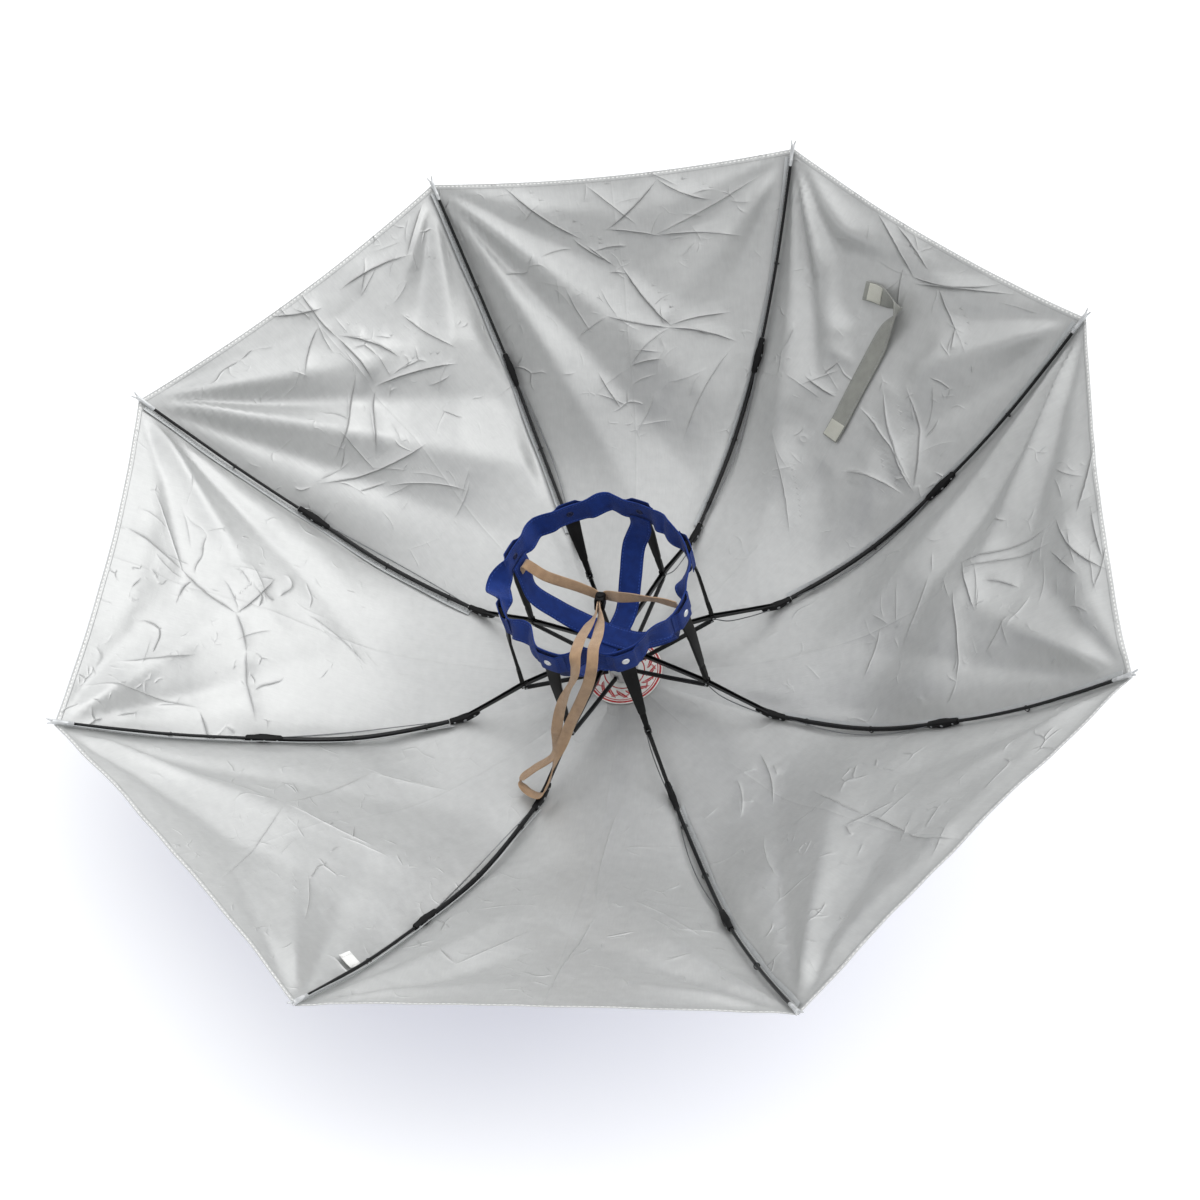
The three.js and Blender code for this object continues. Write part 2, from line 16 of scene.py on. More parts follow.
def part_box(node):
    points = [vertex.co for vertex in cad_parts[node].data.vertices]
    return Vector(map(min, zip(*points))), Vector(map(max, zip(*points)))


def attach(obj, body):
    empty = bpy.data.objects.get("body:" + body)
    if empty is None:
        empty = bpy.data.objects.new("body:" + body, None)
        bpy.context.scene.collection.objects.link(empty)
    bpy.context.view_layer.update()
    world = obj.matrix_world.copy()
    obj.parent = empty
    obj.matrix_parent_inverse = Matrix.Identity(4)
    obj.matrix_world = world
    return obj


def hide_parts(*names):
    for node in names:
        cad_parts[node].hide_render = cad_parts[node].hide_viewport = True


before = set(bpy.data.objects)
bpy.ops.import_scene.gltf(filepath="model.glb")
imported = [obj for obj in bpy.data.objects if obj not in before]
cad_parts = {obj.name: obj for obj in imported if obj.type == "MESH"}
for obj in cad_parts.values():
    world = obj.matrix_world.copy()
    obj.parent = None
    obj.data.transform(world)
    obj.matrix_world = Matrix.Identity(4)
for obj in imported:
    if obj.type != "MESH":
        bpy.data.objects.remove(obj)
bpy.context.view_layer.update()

# Driving dimensions, as in the part
RIB_COUNT = 8
RIB_PITCH = 360 / RIB_COUNT
RIM_RADIUS = 475
CLOTH_WALL = 1.0
GAP = 0.3
EDGE_SAG = 9
PANEL_SAG = 10
RIB_DEPTH = 5
RIB_DEPTH_AT_TIP = 3.0
INNER_TURN = 1.5
INNER_JOINT = (158.6, 223.6)
OUTER_JOINT = (333.0, 137.8)
TEE = (96.3, 203.9)

BAND_RADIUS = 86
BAND_MIDDLE = 94
BAND_HEIGHT = 25
BAND_WALL = 1.5
STRAP_WIDTH = 10
STRAP_WALL = 1.2
CROWN_STRAP_WIDTH = 22
TIE_WIDTH = 18
TIE_WALL = 1.2
PATCH_WIDTH = 16.2
PATCH_WALL = 0.9
PATCH_LENGTH = 17.0
LABEL_WIDTH = 14
LABEL_WALL = 0.5
CROWN_HEIGHT = 181
HUB_RADIUS = 14
STEM_RADIUS = 8
RUNNER_RADIUS = 20
RUNNER_MIDDLE = 195
DOME_RADIUS = 22

LEAN_ANGLE = 13.4
LEAN_TOWARD = 247.5
HEADING = 39.6
PRESS_DEPTH = 0.6
SETTLE_DEPTH = 2.4
SETTLE_REACH = 16

# Inner face of the cloth along a rib, from the crown to the tip: radius, height
CLOTH_PROFILE = [(6, 242), (50, 241), (90, 238), (158.6, 228), (255.6, 197), (335.4, 141.5), (409.5, 75.5),
                 (RIM_RADIUS, 0)]

# How each rib differs from an even one, in degrees: joint turn, joint bend, tip turn, tip bend
RIBS = [
    (1.1, 0.2, -0.3, -0.7),
    (1.6, -1.0, 0.1, 0.1),
    (0.4, 0.1, -1.3, 0.8),
    (1.4, -1.9, -0.5, 3.5),
    (1.0, 0.0, -1.2, 2.4),
    (1.0, 0.2, -0.8, -2.3),
    (1.7, 2.1, -0.6, -4.6),
    (0.8, 0.8, -0.6, 0.1),
]

# Slack of the head band between two posts: how far it bows out, sinks and tips over
BAND_BAYS = [(0, -5, 12), (-6, -7, 19), (-6, -7, 38), (-1, -8, 0), (-3, -6, -8), (-4, -9, -30), (5, 5, 60),
             (4, 2, 20)]

# The camera, in metres on the floor's frame
CAMERA_AT = (0.0190, -1.1109, 1.3153)
CAMERA_FORWARD = (0.00014, 0.69358, -0.72038)
CAMERA_ROLL = -0.0128
CAMERA_LENS = 53.97


# Curves and turns
def rotation(axis, degrees):
    angle = math.radians(degrees)
    c = math.cos(angle)
    s = math.sin(angle)
    if axis == "y":
        return np.array([[c, 0, s], [0, 1, 0], [-s, 0, c]])
    return np.array([[c, -s, 0], [s, c, 0], [0, 0, 1]])


def smoothstep(x, low, high):
    t = np.clip((np.asarray(x, float) - low) / (high - low), 0, 1)
    return t * t * (3 - 2 * t)


def lerp(a, b, t):
    return a + (b - a) * t


def unit(vectors):
    vectors = np.asarray(vectors, float)
    return vectors / np.maximum(np.linalg.norm(vectors, axis=-1, keepdims=True), 1e-9)


def spline(points, count, centripetal=True):
    """Catmull-Rom curve through the points, at count + 1 even steps of its parameter."""
    points = np.asarray(points, float)
    spans = len(points) - 1
    padded = np.vstack([2 * points[0] - points[1], points, 2 * points[-1] - points[-2]])
    t = np.linspace(0, spans, count + 1)
    at = np.minimum(t.astype(int), spans - 1)
    w = (t - at)[:, None]
    p0, p1, p2, p3 = (padded[at + i] for i in range(4))
    if centripetal:
        gaps = (p1 - p0, p2 - p1, p3 - p2)
        d0, d1, d2 = (np.sqrt(np.linalg.norm(gap, axis=1))[:, None] for gap in gaps)
        t1 = ((p1 - p0) / d0 - (p2 - p0) / (d0 + d1) + (p2 - p1) / d1) * d1
        t2 = ((p2 - p1) / d1 - (p3 - p1) / (d1 + d2) + (p3 - p2) / d2) * d1
    else:
        t1 = (p2 - p0) / 2
        t2 = (p3 - p1) / 2
    c2 = -3 * p1 + 3 * p2 - 2 * t1 - t2
    c3 = 2 * p1 - 2 * p2 + t1 + t2
    return p1 + t1 * w + c2 * w**2 + c3 * w**3


def path_lengths(points):
    steps = np.linalg.norm(np.diff(points, axis=0), axis=1)
    return np.concatenate([[0], np.cumsum(steps)])


def polar(r, azimuth, z):
    a = np.radians(azimuth)
    return np.array([r * np.cos(a), r * np.sin(a), z])


# The ribs' line and the cloth's surface
PROFILE = spline(CLOTH_PROFILE, 4000)
PROFILE_S = path_lengths(PROFILE)
CLOTH_LENGTH = PROFILE_S[-1]
PROFILE_S = PROFILE_S / CLOTH_LENGTH
PROFILE_TANGENT = unit(np.gradient(PROFILE, axis=0))


def profile_at(s):
    """Radius, height and tangent of the cloth's profile at share s of its length."""
    r, z = (np.interp(s, PROFILE_S, PROFILE[:, i]) for i in (0, 1))
    tr, tz = (np.interp(s, PROFILE_S, PROFILE_TANGENT[:, i]) for i in (0, 1))
    return r, z, tr, tz


def cloth_height(r):
    return np.interp(r, PROFILE[:, 0], PROFILE[:, 1])


def rib_line(r):
    """The line of a rib under the cloth at radius r."""
    tr, tz = (np.interp(r, PROFILE[:, 0], PROFILE_TANGENT[:, i]) for i in (0, 1))
    depth = lerp(RIB_DEPTH, RIB_DEPTH_AT_TIP, smoothstep(r, 420, 468))
    return r + tz * depth, cloth_height(r) - tr * depth


def bend(r, z, pivot, degrees):
    a = np.radians(degrees)
    x = r - pivot[0]
    y = z - pivot[1]
    return pivot[0] + x * np.cos(a) - y * np.sin(a), pivot[1] + x * np.sin(a) + y * np.cos(a)


def on_rib(k, r, z, side=0.0):
    """Where points of the even rib lie on rib k: side is the distance to its left."""
    r = np.asarray(r, float)
    joint_turn, joint_bend, tip_turn, tip_bend = RIBS[(k - 1) % RIB_COUNT]
    first = joint_bend * smoothstep(r, INNER_JOINT[0] - 10, INNER_JOINT[0] + 30)
    second = tip_bend * smoothstep(r, OUTER_JOINT[0] - 15, OUTER_JOINT[0] + 25)
    knee = bend(OUTER_JOINT[0], OUTER_JOINT[1], INNER_JOINT, first)
    pr, pz = bend(*bend(r, z, INNER_JOINT, first), knee, second)
    to_joint = np.clip((r - INNER_JOINT[0]) / (OUTER_JOINT[0] - INNER_JOINT[0]), 0, 1)
    to_tip = np.clip((r - OUTER_JOINT[0]) / (RIM_RADIUS - OUTER_JOINT[0]), 0, 1.2)
    turn = lerp(INNER_TURN, joint_turn, to_joint) + (tip_turn - joint_turn) * to_tip
    a = np.radians(RIB_PITCH * (k - 1) + turn)
    x = pr * np.cos(a) - side * np.sin(a)
    y = pr * np.sin(a) + side * np.cos(a)
    return np.stack([x, y, pz + 0 * a], axis=-1)


def cloth_corner(k, s, lift):
    r, z, tr, tz = profile_at(s)
    return on_rib(k, r - tz * lift, z + tr * lift)


def cloth_frame(k, s, u):
    """The gore between ribs k and k + 1 at share s from crown to rim and u across: point, outward, width."""
    bow = 4 * u * (1 - u)
    at = s - EDGE_SAG * bow * s**3 / CLOTH_LENGTH
    left = cloth_corner(k, at, 0)
    right = cloth_corner(k + 1, at, 0)
    width = np.linalg.norm(right - left, axis=-1)
    v = u[..., None]
    outward = unit(lerp(cloth_corner(k, at, 1) - left, cloth_corner(k + 1, at, 1) - right, v))
    sag = PANEL_SAG * bow * np.sin(np.pi * np.minimum(1, s * 1.15)) * s
    return lerp(left, right, v) - outward * sag[..., None], outward, width


DOWN = polar(math.sin(math.radians(LEAN_ANGLE)), LEAN_TOWARD, math.cos(math.radians(LEAN_ANGLE)))
REST_SPAN = np.linspace(0.25, 0.55, 40)
FLOOR_DISTANCE = max((cloth_corner(k, REST_SPAN, CLOTH_WALL) @ DOWN).max() for k in (6, 7)) - PRESS_DEPTH

HAT_TO_FLOOR = rotation("z", HEADING) @ rotation("y", 180 - LEAN_ANGLE) @ rotation("z", 360 - LEAN_TOWARD)


def hat_origin():
    """Where the hat's axis meets z = 0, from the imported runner, which is centred on the axis."""
    low, high = (np.array(corner) * 1000 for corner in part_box("runner"))
    middle = (low + high) / 2
    shift = HAT_TO_FLOOR @ np.array([0, 0, RUNNER_MIDDLE])
    return np.array([middle[0] - shift[0], middle[1] - shift[1], FLOOR_DISTANCE])


ORIGIN = hat_origin()


def to_world(points):
    return (np.asarray(points, float) @ HAT_TO_FLOOR.T + ORIGIN) / 1000


def press_to_floor(points, keep_above):
    """Cloth below the floor is pressed up to it, and cloth just above it sinks down to it."""
    height = (FLOOR_DISTANCE - keep_above) - points @ DOWN
    sink = SETTLE_DEPTH * (1 - smoothstep(height, SETTLE_DEPTH, SETTLE_REACH))
    settled = np.maximum(height - sink, 0)
    return points + (height - settled)[..., None] * DOWN


# Meshes
class Shape:
    """Collects the faces of one piece in the hat's frame, with a material and flat coordinates in mm."""

    def __init__(self):
        self.points = []
        self.faces = []
        self.slots = []
        self.flats = []
        self.count = 0

    def add(self, points, faces, flats, slot=0):
        points = np.asarray(points, float).reshape(-1, 3)
        self.points.append(points)
        self.faces += [tuple(int(i) + self.count for i in face) for face in faces]
        self.flats += list(flats)
        self.slots += [slot] * len(faces)
        self.count += len(points)

    def tube(self, rings, slot=0, closed=False, caps=True, flats=None):
        """A skin over rings of points, which are outlines of the same number of points each."""
        rings = np.asarray(rings, float)
        count, around, _ = rings.shape
        along = path_lengths(rings.mean(axis=1))
        ring = np.vstack([rings[count // 2], rings[count // 2][:1]])
        about = path_lengths(ring)
        faces = []
        uvs = []
        spans = count if closed else count - 1
        for i in range(spans):
            j = (i + 1) % count
            here = along[i]
            there = along[i + 1] if i + 1 < count else along[i] + (along[1] - along[0])
            for a in range(around):
                b = (a + 1) % around
                faces.append((i * around + a, i * around + b, j * around + b, j * around + a))
                low, high = (about[a], about[a + 1]) if flats is None else (flats[a], flats[b])
                uvs.append(((here, low), (here, high), (there, high), (there, low)))
        if caps and not closed:
            for i, order in ((0, range(around - 1, -1, -1)), (count - 1, range(around))):
                faces.append(tuple(i * around + a for a in order))
                uvs.append(tuple((along[i], about[a]) for a in order))
        if signed_volume(rings.reshape(-1, 3), faces) < 0:
            faces = [face[::-1] for face in faces]
            uvs = [uv[::-1] for uv in uvs]
        self.add(rings, faces, uvs, slot)

    def lathe(self, outline, slot=0, steps=48, at=(0, 0, 0), basis=None, notch=None, closed=False):
        """A solid of revolution: outline is radius, height along the axis, from end to end or closed."""
        angles = np.arange(steps) * 2 * np.pi / steps
        rings = []
        for r, z in outline:
            radius = r if notch is None else notch(r, z, angles)
            rings.append(circle(radius, angles, z))
        basis = np.eye(3) if basis is None else basis
        self.tube(np.array(rings) @ basis + np.asarray(at, float), slot, closed)

    def build(self, name, materials, nodes=(), sharp=40):
        mesh = bpy.data.meshes.new(name)
        mesh.from_pydata(to_world(np.vstack(self.points)).tolist(), [], self.faces)
        mesh.polygons.foreach_set("material_index", self.slots)
        layer = mesh.uv_layers.new(name="flat")
        layer.data.foreach_set("uv", np.concatenate([np.asarray(uv, float).ravel() for uv in self.flats]))
        for material in materials:
            mesh.materials.append(material)
        mesh.polygons.foreach_set("use_smooth", [True] * len(mesh.polygons))
        mesh.set_sharp_from_angle(angle=math.radians(sharp))
        mesh.update()
        piece = bpy.data.objects.new(name, mesh)
        bpy.context.scene.collection.objects.link(piece)
        return finish_piece(piece, nodes)


def circle(radius, angles, z):
    return np.stack([radius * np.cos(angles), radius * np.sin(angles), z + 0 * angles], axis=-1)


def signed_volume(points, faces):
    total = 0.0
    for face in faces:
        a = points[face[0]]
        for i in range(1, len(face) - 1):
            total += a @ np.cross(points[face[i]], points[face[i + 1]])
    return total / 6


def finish_piece(piece, nodes=()):
    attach(piece, "root")
    if nodes:
        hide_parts(*nodes)
    return piece


# Sections, as outlines of side and up
def rounded_section(wide, high, corner=0.5, steps=3):
    x = wide / 2
    y = high / 2
    c = min(corner, x * 0.98, y * 0.98)
    outline = []
    for start, cx, cy in ((0, x - c, y - c), (90, c - x, y - c), (180, c - x, c - y), (270, x - c, c - y)):
        for i in range(steps + 1):
            a = math.radians(start + 90 * i / steps)
            outline.append((cx + c * math.cos(a), cy + c * math.sin(a)))
    return outline


def channel_section(wide, high, wall=0.7, opening=1):
    """A U of folded sheet: opening is 1 toward the cloth and -1 away from it."""
    x = wide / 2
    y = high / 2
    c = 0.9
    outer = [(-x, y), (-x, c - y), (0.3 * c - x, 0.3 * c - y), (c - x, -y)]
    outer += [(-px, py) for px, py in reversed(outer)]
    inner = [(x - wall, y), (x - wall, wall + 0.4 - y), (x - wall - 0.4, wall - y)]
    inner += [(-px, py) for px, py in reversed(inner)]
    return [(px, py * opening) for px, py in outer + inner]


def round_section(diameter, steps=10):
    angles = np.arange(steps) * 2 * np.pi / steps
    return [(diameter / 2 * math.cos(a), diameter / 2 * math.sin(a)) for a in angles]


def resample(stations, steps):
    """Stations of r, z, high, wide, side, filled in with straight steps between them."""
    table = np.array([list(s) + [0] * (5 - len(s)) for s in stations], float)
    at = np.linspace(0, len(table) - 1, (len(table) - 1) * steps + 1)
    return np.stack([np.interp(at, np.arange(len(table)), table[:, i]) for i in range(5)], axis=-1)


def rib_bar(k, stations, section, steps=1):
    """Rings of a bar in the plane of rib k, with section(wide, high) at each station."""
    table = resample(stations, steps)
    before = np.vstack([table[:1], table[:-1]])
    after = np.vstack([table[1:], table[-1:]])
    angle = np.arctan2(after[:, 1] - before[:, 1], after[:, 0] - before[:, 0])
    rings = []
    for (r, z, high, wide, side), a in zip(table, angle):
        outline = np.array(section(wide, high))
        up = outline[:, 1]
        rings.append(on_rib(k, r - math.sin(a) * up, z + math.cos(a) * up, side + outline[:, 0]))
    return np.array(rings)


def rib_pin(shape, k, r, z, reach, radius, slot):
    """A rivet across rib k, with a low domed head at each side."""
    along = on_rib(k, r, z, 1.0) - on_rib(k, r, z, 0.0)
    outward = unit(on_rib(k, r + 1, z) - on_rib(k, r, z))
    basis = np.array([outward, unit(np.cross(along, outward)), unit(along)])
    head = [(0, -reach - 0.7), (radius * 0.6, -reach - 0.55), (radius, -reach), (radius * 0.6, -reach + 0.2)]
    outline = head + [(r2, -z2) for r2, z2 in reversed(head)]
    shape.lathe(outline, slot, steps=14, at=on_rib(k, r, z), basis=basis)


def wire(points, diameter, sides=8):
    """Rings of a round wire along points, kept from twisting."""
    points = np.asarray(points, float)
    tangents = unit(np.gradient(points, axis=0))
    normal = unit(np.cross(tangents[0], [0.3, 0.2, 0.9]))
    rings = []
    for p, t in zip(points, tangents):
        normal = unit(normal - t * (normal @ t))
        other = np.cross(t, normal)
        rings.append([p + normal * x + other * y for x, y in round_section(diameter, sides)])
    return np.array(rings)


# Materials
GORE_SHIFT = 500
CREASE_LAYERS = [f"crease_{i}" for i in range(1, 7)]
CREASE_STEEP = 1.7
CREASE_GAIN = 1.5
CREASE_EDGE = 0.7
CREASE_EDGE_GAIN = 0.7
CREASE_SLOW = 7.0
FOLD_LINE = 1.6


class Value:
    """A value in a node tree, which adds and multiplies like a number."""

    def __init__(self, socket):
        self.socket = socket
        self.tree = socket.id_data

    def __add__(self, other):
        return calc("ADD", self, other)

    def __sub__(self, other):
        return calc("SUBTRACT", self, other)

    def __rsub__(self, other):
        return calc("SUBTRACT", other, self)

    def __mul__(self, other):
        return calc("MULTIPLY", self, other)

    def __abs__(self):
        return calc("ABSOLUTE", self)

    __radd__ = __add__


def connect(value, socket):
    if isinstance(value, Value):
        value.tree.links.new(value.socket, socket)
    else:
        socket.default_value = value


def add_node(tree, kind, inputs=None, output=0, **settings):
    """One output of a new shader node, whose inputs are linked or set."""
    made = tree.nodes.new("ShaderNode" + kind)
    for key, value in settings.items():
        setattr(made, key, value)
    for key, value in (inputs or {}).items():
        connect(value, made.inputs[key])
    return Value(made.outputs[output])


def calc(operation, *values):
    tree = next(value.tree for value in values if isinstance(value, Value))
    return add_node(tree, "Math", dict(enumerate(values)), operation=operation)


def remap(value, low, high, to_low=0.0, to_high=1.0, kind="SMOOTHSTEP"):
    ends = {0: value, 1: low, 2: high, 3: to_low, 4: to_high}
    return add_node(value.tree, "MapRange", ends, interpolation_type=kind)


def colour(red, green, blue):
    """A colour given as it looks on a screen, 0 to 255."""
    def linear(v):
        v = v / 255
        return v / 12.92 if v <= 0.04045 else ((v + 0.055) / 1.055) ** 2.4
    return (linear(red), linear(green), linear(blue), 1.0)


def blend_colours(factor, a, b):
    """A mix of two colours, each a Value or its red, green and blue."""
    a, b = (v if isinstance(v, Value) else colour(*v) for v in (a, b))
    return add_node(factor.tree, "Mix", {0: factor, 6: a, 7: b}, 2, data_type="RGBA")


def flat_coordinates(tree, name="flat"):
    uv = add_node(tree, "UVMap", uv_map=name)
    return uv, add_node(tree, "SeparateXYZ", {0: uv}, 0), add_node(tree, "SeparateXYZ", {0: uv}, 1)


def object_coordinates(tree):
    """Place in mm."""
    place = add_node(tree, "TexCoord", output="Object")
    return add_node(tree, "VectorMath", {0: place, 1: (1000, 1000, 1000)}, operation="MULTIPLY")


def mapped(place, scale=(1, 1, 1), shift=(0, 0, 0)):
    return add_node(place.tree, "Mapping", {0: place, "Location": shift, "Scale": scale})


def cloud(place, size, detail=2.0, roughness=0.5):
    """Soft noise of 0 to 1 with features about size mm across."""
    inputs = {"Vector": place, "Scale": 1 / size, "Detail": detail, "Roughness": roughness}
    return add_node(place.tree, "TexNoise", inputs)


def new_material(name, roughness, metallic=0.0, **extra):
    """A material, its node tree and its shader. extra names the shader's own sockets, with _ for a space."""
    material = bpy.data.materials.new(name)
    material.use_nodes = True
    tree = material.node_tree
    shader = tree.nodes["Principled BSDF"]
    for key, value in {"Roughness": roughness, "Metallic": metallic, **extra}.items():
        shader.inputs[key.replace("_", " ")].default_value = value
    return material, tree, shader


def set_surface(shader, base, height, rough=None):
    """Links the colour, the relief in mm and the roughness."""
    bump = add_node(shader.id_data, "Bump", {"Height": height, "Strength": 1.0, "Distance": 0.001})
    connect(base, shader.inputs["Base Color"])
    connect(bump, shader.inputs["Normal"])
    if rough:
        connect(rough, shader.inputs["Roughness"])


def moulded(name, dark, light, roughness, grain=0.02, metallic=0.0, wear=None, **extra):
    """Moulded plastic or painted metal: faint mottling, fine grain, and scuffs that lighten and dull it."""
    material, tree, shader = new_material(name, roughness, metallic, **extra)
    place = object_coordinates(tree)
    mottled = cloud(place, 9, 3)
    fine = cloud(place, 0.7, 2)
    scuffed = remap(cloud(mapped(place, (0.35, 2.2, 1.3)), 2.2, 4, 0.7), 0.6, 0.74)
    base = blend_colours(mottled, dark, light)
    if wear:
        base = blend_colours(scuffed * 0.5, base, wear)
    rough = roughness - 0.06 + mottled * 0.12 + scuffed * 0.16
    set_surface(shader, base, fine * grain + mottled * grain, rough)
    return material


def dashes(along, across, line, width=0.5, pitch=3.2, filled=0.62):
    """Stitches on a line: 1 on the thread, 0 between the stitches."""
    on_line = remap(abs(across - line), width, width * 0.4)
    phase = calc("FRACT", calc("DIVIDE", along, pitch))
    return on_line * remap(abs(phase - 0.5), filled / 2, filled / 2 - 0.1)


def woven(name, dark, light, roughness, pitch=0.55, depth=0.05, twill=False, stitch=None, **extra):
    """Woven tape or band cloth, from its flat coordinates. stitch is the thread's colour and its lines."""
    material, tree, shader = new_material(name, roughness, **extra)
    uv, along, across = flat_coordinates(tree)
    warp = calc("SINE", across * (math.tau / pitch))
    weft = calc("SINE", (along + across if twill else along) * (math.tau / (pitch * 1.2)))
    weave = warp * 0.5 + weft if twill else warp * weft
    uneven = cloud(object_coordinates(tree), 7, 3)
    fibres = cloud(mapped(uv, (0.25, 2.0, 1)), 0.9, 3)
    base = blend_colours(uneven * 0.55 + fibres * 0.3 + weave * 0.12, dark, light)
    height = weave * depth + fibres * depth + uneven * 0.25
    tint, lines = stitch or (None, ())
    for line in lines:
        thread = dashes(along, across, line)
        base = blend_colours(thread * 0.8, base, tint)
        height = height + remap(abs(across - line), 0.0, 1.4, -0.35, 0.0) + thread * 0.25
    set_surface(shader, base, height, roughness - 0.05 + fibres * 0.1)
    return material


def crease_height(tree, layer, wobble):
    """A crease from a layer of signed distance and height: steep on one side, a slow slope on the other."""
    _, distance, height = flat_coordinates(tree, layer)
    distance = distance + wobble
    off = calc("MAXIMUM", distance, distance * (-CREASE_STEEP / CREASE_SLOW))
    fall = calc("EXPONENT", off * (-1 / CREASE_STEEP))
    sharp = calc("EXPONENT", abs(distance) * (-1 / CREASE_EDGE))
    return (fall * CREASE_GAIN + sharp * CREASE_EDGE_GAIN) * height


def scattered_creases(place, size, mask, height, width):
    """Fine crossing creases that a folded cloth keeps, where mask is high."""
    tree = place.tree
    wander = add_node(tree, "TexNoise", {"Vector": place, "Scale": 1 / (size * 0.8), "Detail": 1.0}, 1)
    inputs = {0: wander, 1: (size * 0.7,) * 3, 2: place}
    shifted = add_node(tree, "VectorMath", inputs, operation="MULTIPLY_ADD")
    off = add_node(tree, "TexVoronoi", {"Vector": shifted, "Scale": 1 / size}, feature="DISTANCE_TO_EDGE")
    fall = calc("EXPONENT", off * size * (-1 / width))
    broken = remap(cloud(place, size * 0.55, 1), 0.5, 0.66)
    return fall * (broken * mask) * height


def canopy_cloth(name, dark, light, thread, roughness, metallic, weave, **extra):
    """Thin, smooth, tightly woven cloth with creases, a pressed middle line and a stitched hem."""
    material, tree, shader = new_material(name, roughness, metallic, **extra)
    place, along_rim, from_crown = flat_coordinates(tree)
    from_middle = calc("MODULO", along_rim + GORE_SHIFT / 2, GORE_SHIFT) - GORE_SHIFT / 2
    from_rim = CLOTH_LENGTH - from_crown
    uneven = cloud(place, 60, 2)
    mottled = cloud(place, 9, 3)
    grain = cloud(mapped(place, (1.0, 0.12, 1)), 1.6, 2)
    outer = remap(from_crown, 0.35 * CLOTH_LENGTH, 0.7 * CLOTH_LENGTH)
    wide_mask = (outer * 0.75 + 0.25) * remap(cloud(place, 110, 1), 0.42, 0.62)
    other = remap(cloud(mapped(place, shift=(77, 31, 0)), 60, 1), 0.5, 0.68)
    fine_mask = (outer * 0.7 + 0.3) * other
    pressed = calc("EXPONENT", abs(from_middle) * (-1 / FOLD_LINE))
    hem_step = remap(from_rim, 5.4, 4.4, 0.0, 0.3)
    hem_pull = calc("SINE", from_middle * 1.3) * remap(from_rim, 10.0, 1.0, 0.0, 0.06)
    stitches = dashes(from_middle, from_rim, 2.0, width=1.0, pitch=4.2)
    wobble = (cloud(place, 14, 1) - 0.5) * 1.1
    height = scattered_creases(place, 62, wide_mask, 1.3, 1.0)
    height = height + scattered_creases(place, 27, fine_mask, 0.6, 0.7)
    for layer in CREASE_LAYERS:
        height = height + crease_height(tree, layer, wobble)
    height = height + pressed * 0.3 + uneven * 1.2 + mottled * 0.16 + grain * weave
    height = height + hem_step + hem_pull + stitches * 0.2
    base = blend_colours(mottled * 0.5 + grain * 0.3 + uneven * 0.2, dark, light)
    base = blend_colours(stitches * 0.7, base, thread)
    set_surface(shader, base, height, roughness - 0.05 + mottled * 0.1)
    return material


def disc_print(name):
    """White card with red rings and a wreath of leaves. Flat coordinates are mm from its middle."""
    material, tree, shader = new_material(name, 0.55)
    _, x, y = flat_coordinates(tree)
    place = object_coordinates(tree)
    radius = calc("SQRT", x * x + y * y)
    angle = calc("ARCTAN2", y, x)

    def ring(at, width):
        return remap(abs(radius - at), width, width * 0.6)

    def leaves(count, start, end, half_width, lean, turn):
        share = calc("FRACT", (angle + turn + radius * lean) * (count / math.tau) + 100.0)
        sideways = abs(share - 0.5) * (math.tau / count) * radius
        part = remap(radius, start, end, kind="LINEAR")
        edge = calc("SINE", part * math.pi) * half_width - sideways
        return remap(edge, 0.0, 0.25) * remap(sideways, 0.16, 0.3)

    red = ring(35.0, 1.2)
    for mark in (ring(32.6, 0.6), ring(19.5, 0.75), leaves(16, 21.4, 31.6, 3.0, 0.05, 0.0),
                 leaves(16, 25.0, 31.6, 1.6, -0.05, 0.19)):
        red = calc("MAXIMUM", red, mark)
    worn = remap(cloud(place, 1.4, 3), 0.3, 0.5, 0.75, 1.0)
    card = blend_colours(cloud(place, 6, 3), (226, 226, 222), (246, 246, 243))
    base = blend_colours(red * worn, card, (186, 26, 34))
    set_surface(shader, base, cloud(place, 0.8, 2) * 0.05 + red * 0.04)
    return material


def blue_cloth(name, thread, lines):
    return woven(name, (8, 25, 72), (30, 66, 152), 0.72, 0.6, stitch=(thread, lines), Specular_IOR_Level=0.2,
                 Sheen_Weight=0.08, Sheen_Roughness=0.45)


SILVER = canopy_cloth("cloth_silver", (172, 173, 173), (204, 205, 204), (240, 240, 238), 0.43, 0.42, 0.05,
                      Specular_IOR_Level=0.5)
BLUE_OUTSIDE = canopy_cloth("cloth_blue", (20, 42, 112), (34, 62, 144), (60, 90, 170), 0.62, 0.0, 0.06,
                            Sheen_Weight=0.25, Sheen_Roughness=0.4)
SEAM_CLOTH = woven("seam_cloth", (176, 179, 180), (214, 216, 217), 0.5, stitch=((246, 246, 244), (2.0,)),
                   Metallic=0.3)
STEEL = moulded("black_painted_steel", (8, 9, 10), (21, 22, 24), 0.34, 0.015, 0.25, (96, 98, 102),
                Specular_IOR_Level=0.3, Coat_Weight=0.1, Coat_Roughness=0.2)
NYLON = moulded("black_nylon", (4, 4, 5), (13, 13, 14), 0.5, 0.03, wear=(50, 50, 52), Specular_IOR_Level=0.18)
WIRE_STEEL = moulded("bare_wire", (92, 94, 96), (150, 152, 154), 0.34, 0.01, 0.9)
RIVET_STEEL = moulded("rivet_steel", (120, 122, 124), (176, 178, 180), 0.32, 0.01, 0.9)
TIP_PLASTIC = moulded("tip_plastic", (176, 178, 180), (222, 224, 225), 0.38, 0.02, 0.35)
HUB_PLASTIC = moulded("hub_plastic", (168, 171, 172), (204, 206, 207), 0.42, 0.03, wear=(120, 122, 124))
